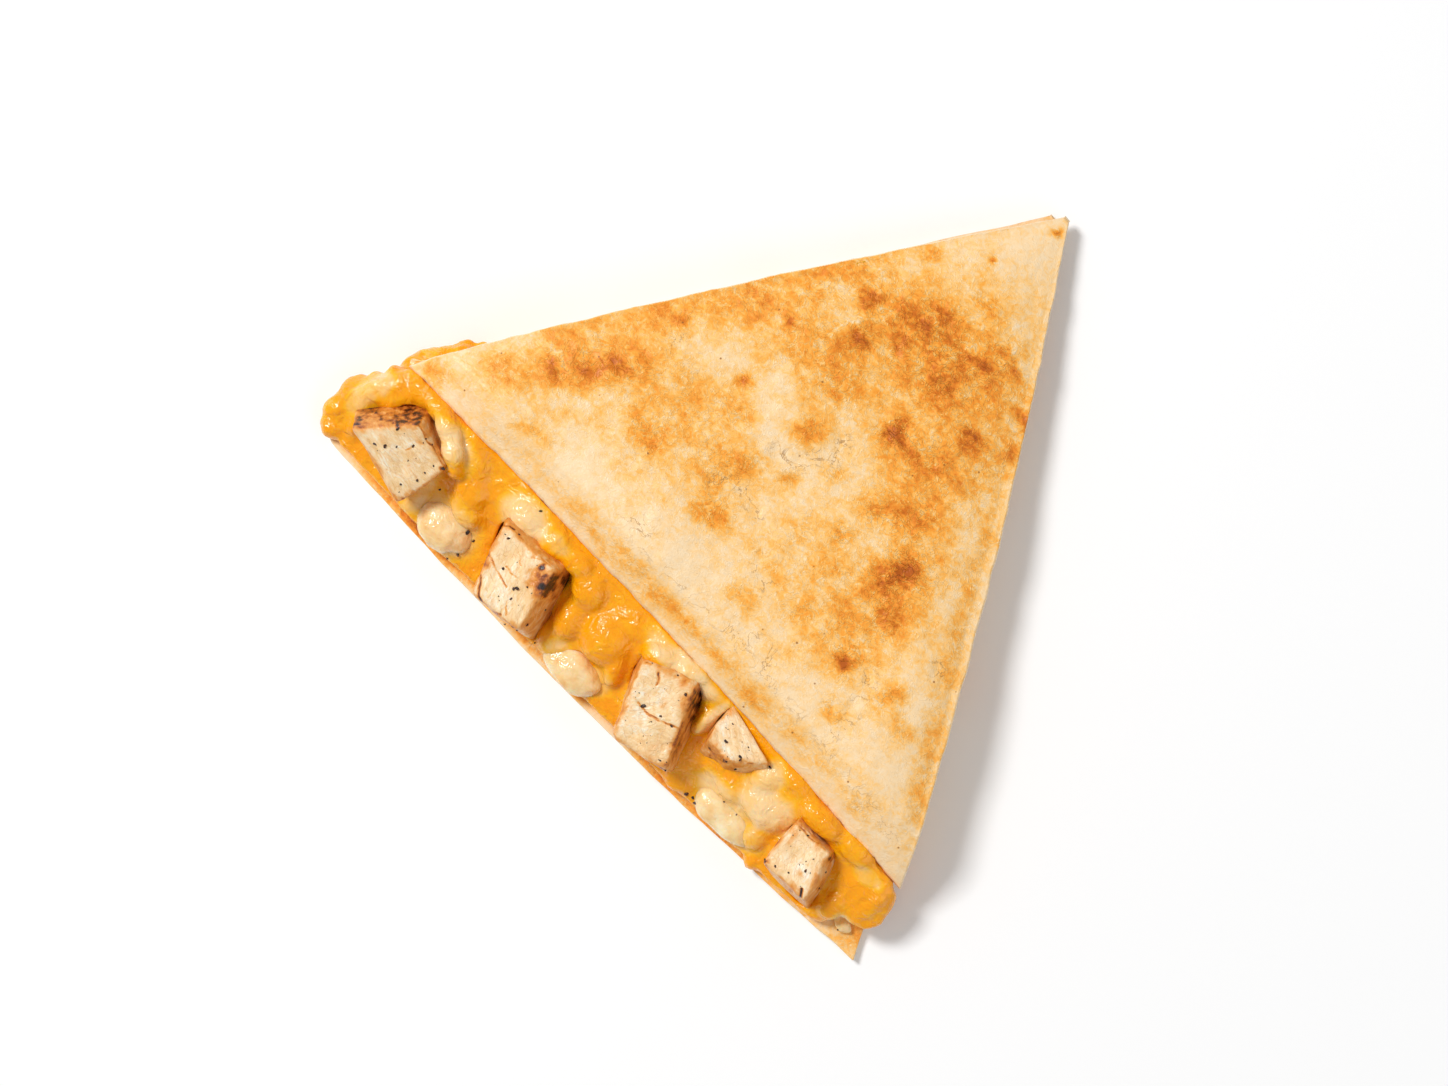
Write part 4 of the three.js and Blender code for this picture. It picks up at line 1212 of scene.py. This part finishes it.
# The knife dragged the underside out a little, so the pale cut shows from above.
points[:, :2] += np.where(is_top, 0, 0.007)[:, None] * (points[:, :2] - [-2, 63])
toasted = toast_at(points)
relief = 0.5 * waves(flat, 17, 0.6) + (0.12 + 0.3 * toasted) * waves(flat, 4.4, 3.3, 2)
relief += (0.05 + 0.12 * toasted) * waves(flat, 1.9, 7.9)
relief += 0.16 * waves(flat, (26, 1.7, 1), 5.1) * np.clip((30 - flat[:, 1]) / 3, 0, 1)
relief -= 0.24 * crease_depth(flat) * (1 + waves(flat, 2.4, 4.4))
points[:, 2] = upper_top(flat) - np.where(is_top, 0, TORTILLA) + np.where(is_top, relief, 0)
move_points(upper, points)
front, right, left = upper_insets(points)
coarsen(upper, ~is_top & (front > 4) & (right > 3) & (left > 3), 0.1)
finish_sheet(upper)
points = read_points(upper)
underneath = points[:, 2] < upper_top(points) - 1.1
values = toast_at(points) + 0.09 * waves(points * np.array([1, 1, 0]), 12, 8.8, 2)
paint(upper, "toast", np.clip(np.where(underneath, 0.1, values), 0, 1))
# The material paints shade along the creases from this nearness, and the same nearness dents the
# skin.
paint(upper, "crease", np.where(underneath, 0, crease_depth(points)))
upper.data.materials.append(griddled)
upper.data.materials.append(cut_dough)
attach(upper, "root")
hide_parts("upper_tortilla")

# Black pepper, ground coarsely over the chicken before it was grilled, and a few
# bits of charred crust that fell off it: crumbs that stick on top of the dice and
# of the cheese round them.

# The larger crumbs: U, V, size.
PEPPER = [
    (-68.4, 8.3, 0.75), (-72.8, 3.7, 1.1), (-74.8, 2.4, 0.75), (-64.4, 0.1, 0.7), (-62.5, 3.5, 0.8),
    (-62.1, 8.4, 0.6), (-62.4, 5.9, 0.5), (-67, 5.1, 0.5), (-60.3, 9.5, 0.9), (-70.9, 5.5, 0.5),
    (-73.5, 8.5, 0.8), (-67.6, 11.5, 0.5), (-65.8, 11.5, 0.5), (-58, 5.3, 0.5), (-34.8, 3.6, 0.8),
    (-38.8, 9.2, 0.7), (-40, 9.3, 0.5), (-29.4, 2.8, 1.0), (-29.8, 2.2, 0.8), (-28.7, 0.2, 0.6),
    (-31, -1.4, 0.45), (-30.2, -2, 0.4), (-21.6, 3.7, 0.55), (-22, -1.4, 0.7), (-24, -4.2, 0.7),
    (-22.8, -3.8, 0.7), (-44.7, -2.2, 0.9), (-46.7, 3, 1.2), (-44.4, 2.6, 0.8), (-37.8, 11.5, 0.5),
    (-27.9, 4.7, 0.55), (-26, -5.8, 0.5), (-45.8, -4.6, 0.8), (-18, -3.6, 0.5), (9.3, 4.8, 1.15),
    (16.9, 6.3, 0.75), (13.6, 6, 0.6), (14, 13.5, 0.75), (9.8, 15.2, 0.6), (22, -0.2, 0.5),
    (23.2, -1.7, 0.6), (20.7, -1, 0.6), (13.1, 3.7, 0.4), (3.8, 13, 0.4), (28, 12.6, 0.9),
    (32.7, 12.5, 0.8), (33.2, 12, 0.7), (34.2, 9.6, 0.75), (31.3, 9.5, 0.7), (26.3, 16.4, 0.55),
    (32.5, 15.3, 0.6), (39.2, 15.6, 0.7), (37.9, 2.4, 0.5), (42, 2.4, 0.5), (30.8, -2.6, 1.1),
    (32.4, -2.2, 0.8), (33.6, -2.6, 0.9), (61.2, 5.3, 0.8), (55.9, 1.1, 0.65), (59.4, 5.3, 0.4),
    (59, 2.2, 0.5), (53.3, 0.4, 0.8), (56, 11.2, 0.6), (63.6, 1.8, 0.5), (66.7, 4.6, 0.5),
    (65.1, 8.2, 0.5), (60.6, 8.4, 0.4), (77.3, 0.6, 0.5), (-38.3, 18.6, 0.7),
]
PEPPER_SEED = 77
DUST = 44  # the finer crumbs, scattered over the tops of the dice

# Cracked black peppercorns: near black husk with brown broken faces, dull.
peppercorn = new_material("cracked_black_pepper")
here = add_node(peppercorn, "ShaderNodeTexCoord")
husk = add_node(
    peppercorn, "ShaderNodeTexNoise", {"Vector": (here, "Object"), "Scale": 1 / (0.5 * MM)}
)
husk_colour = add_node(
    peppercorn, "ShaderNodeValToRGB",
    {"Fac": husk},
    stops=[(0.4, "1c0e07"), (0.68, "7a4318"), (0.54, "3a1c0a")],
)
pepper_surface = add_node(
    peppercorn, "ShaderNodeBsdfPrincipled", {"Base Color": husk_colour, "Roughness": 0.5}
)
add_node(peppercorn, "ShaderNodeOutputMaterial", {"Surface": pepper_surface})

draw = seeded(PEPPER_SEED)
crumbs = list(PEPPER)
for _ in range(DUST):
    corners = np.array(SHOWN_DICE[int(next(draw) * 5)]["face"], float)
    across, back = 0.08 + 0.84 * next(draw), 0.08 + 0.84 * next(draw)
    front_place = corners[0] + (corners[1] - corners[0]) * across
    place = front_place + (corners[3] + (corners[2] - corners[3]) * across - front_place) * back
    crumbs.append((place[0], place[1], 0.2 + 0.16 * next(draw)))
under_crumbs = []
for piece in chicken_pieces[:5] + lump_pieces + [cheese, lower]:
    corners = [vertex.co for vertex in piece.data.vertices]
    faces = [face.vertices for face in piece.data.polygons]
    under_crumbs.append(BVHTree.FromPolygons(corners, faces))
pepper_parts = []
for u, v, size in crumbs:
    high = np.array([u, v, 40.0])
    start = Vector((high - FRAME_MIDDLE) * MM)
    hits = [tree.ray_cast(start, Vector((0, 0, -1))) for tree in under_crumbs]
    heights = [hit[0].z for hit in hits if hit[0]]
    if not heights:
        continue
    bpy.ops.mesh.primitive_ico_sphere_add(
        subdivisions=1 if size < 0.5 else 2,
        radius=size / 2 * MM,
        location=(start.x, start.y, max(heights) + 0.08 * size * MM),
        rotation=(0.5 * next(draw), 0.5 * next(draw), 6.28 * next(draw)),
        scale=(0.85 + 0.5 * next(draw), 0.6 + 0.3 * next(draw), 0.5 + 0.25 * next(draw)),
    )
    pepper_parts.append(bpy.context.object)
pepper = pepper_parts.pop()
merge(pepper, pepper_parts)
bpy.ops.object.transform_apply(location=True, rotation=True, scale=True)
pepper.name = "cracked_pepper_crumbs"
points = read_points(pepper)
points += 0.14 * np.column_stack([waves(points, 0.45, shift) for shift in (1.1, 5.2, 8.3)])
move_points(pepper, points)
pepper.data.materials.append(peppercorn)
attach(pepper, "root")

# Floor, studio light and camera: a plain white table, a soft key light from the
# wedge's left with light all round it, and the camera straight above.

table_finish = new_material("matt_white_table")
table_top = add_node(
    table_finish, "ShaderNodeBsdfPrincipled", {"Base Color": linear("fcfcfc"), "Roughness": 0.9}
)
add_node(table_finish, "ShaderNodeOutputMaterial", {"Surface": table_top})
bpy.ops.mesh.primitive_plane_add(size=6, location=(0, 0, -0.0002))
floor = bpy.context.object
floor.name = "floor"
floor.data.materials.append(table_finish)

world = bpy.data.worlds.new("studio")
world.use_nodes = True
background = world.node_tree.nodes["Background"]
background.inputs["Color"].default_value = (1, 1, 1, 1)
background.inputs["Strength"].default_value = 0.38
bpy.context.scene.world = world

for name, place, size, power in (
    ("key", (-1.25, -0.15, 1.55), 0.5, 30),
    ("fill", (0.7, 0.05, 0.7), 0.7, 1.5),
):
    bpy.ops.object.light_add(type="AREA", location=place)
    lamp = bpy.context.object
    lamp.name = name
    lamp.data.size = size
    lamp.data.energy = power
    lamp.rotation_euler = (-Vector(place)).to_track_quat("-Z", "Y").to_euler()

CAMERA_PLACE = (-0.001, -0.02895, 0.786)  # metres
CAMERA_ROLL = 46.01  # degrees that the open side is turned in the picture
LENS = 85.03
bpy.ops.object.camera_add(location=CAMERA_PLACE, rotation=(0, 0, math.radians(CAMERA_ROLL)))
camera = bpy.context.object
camera.data.lens = LENS
camera.data.sensor_width = 36
bpy.context.scene.camera = camera
bpy.context.scene.view_settings.view_transform = "Standard"
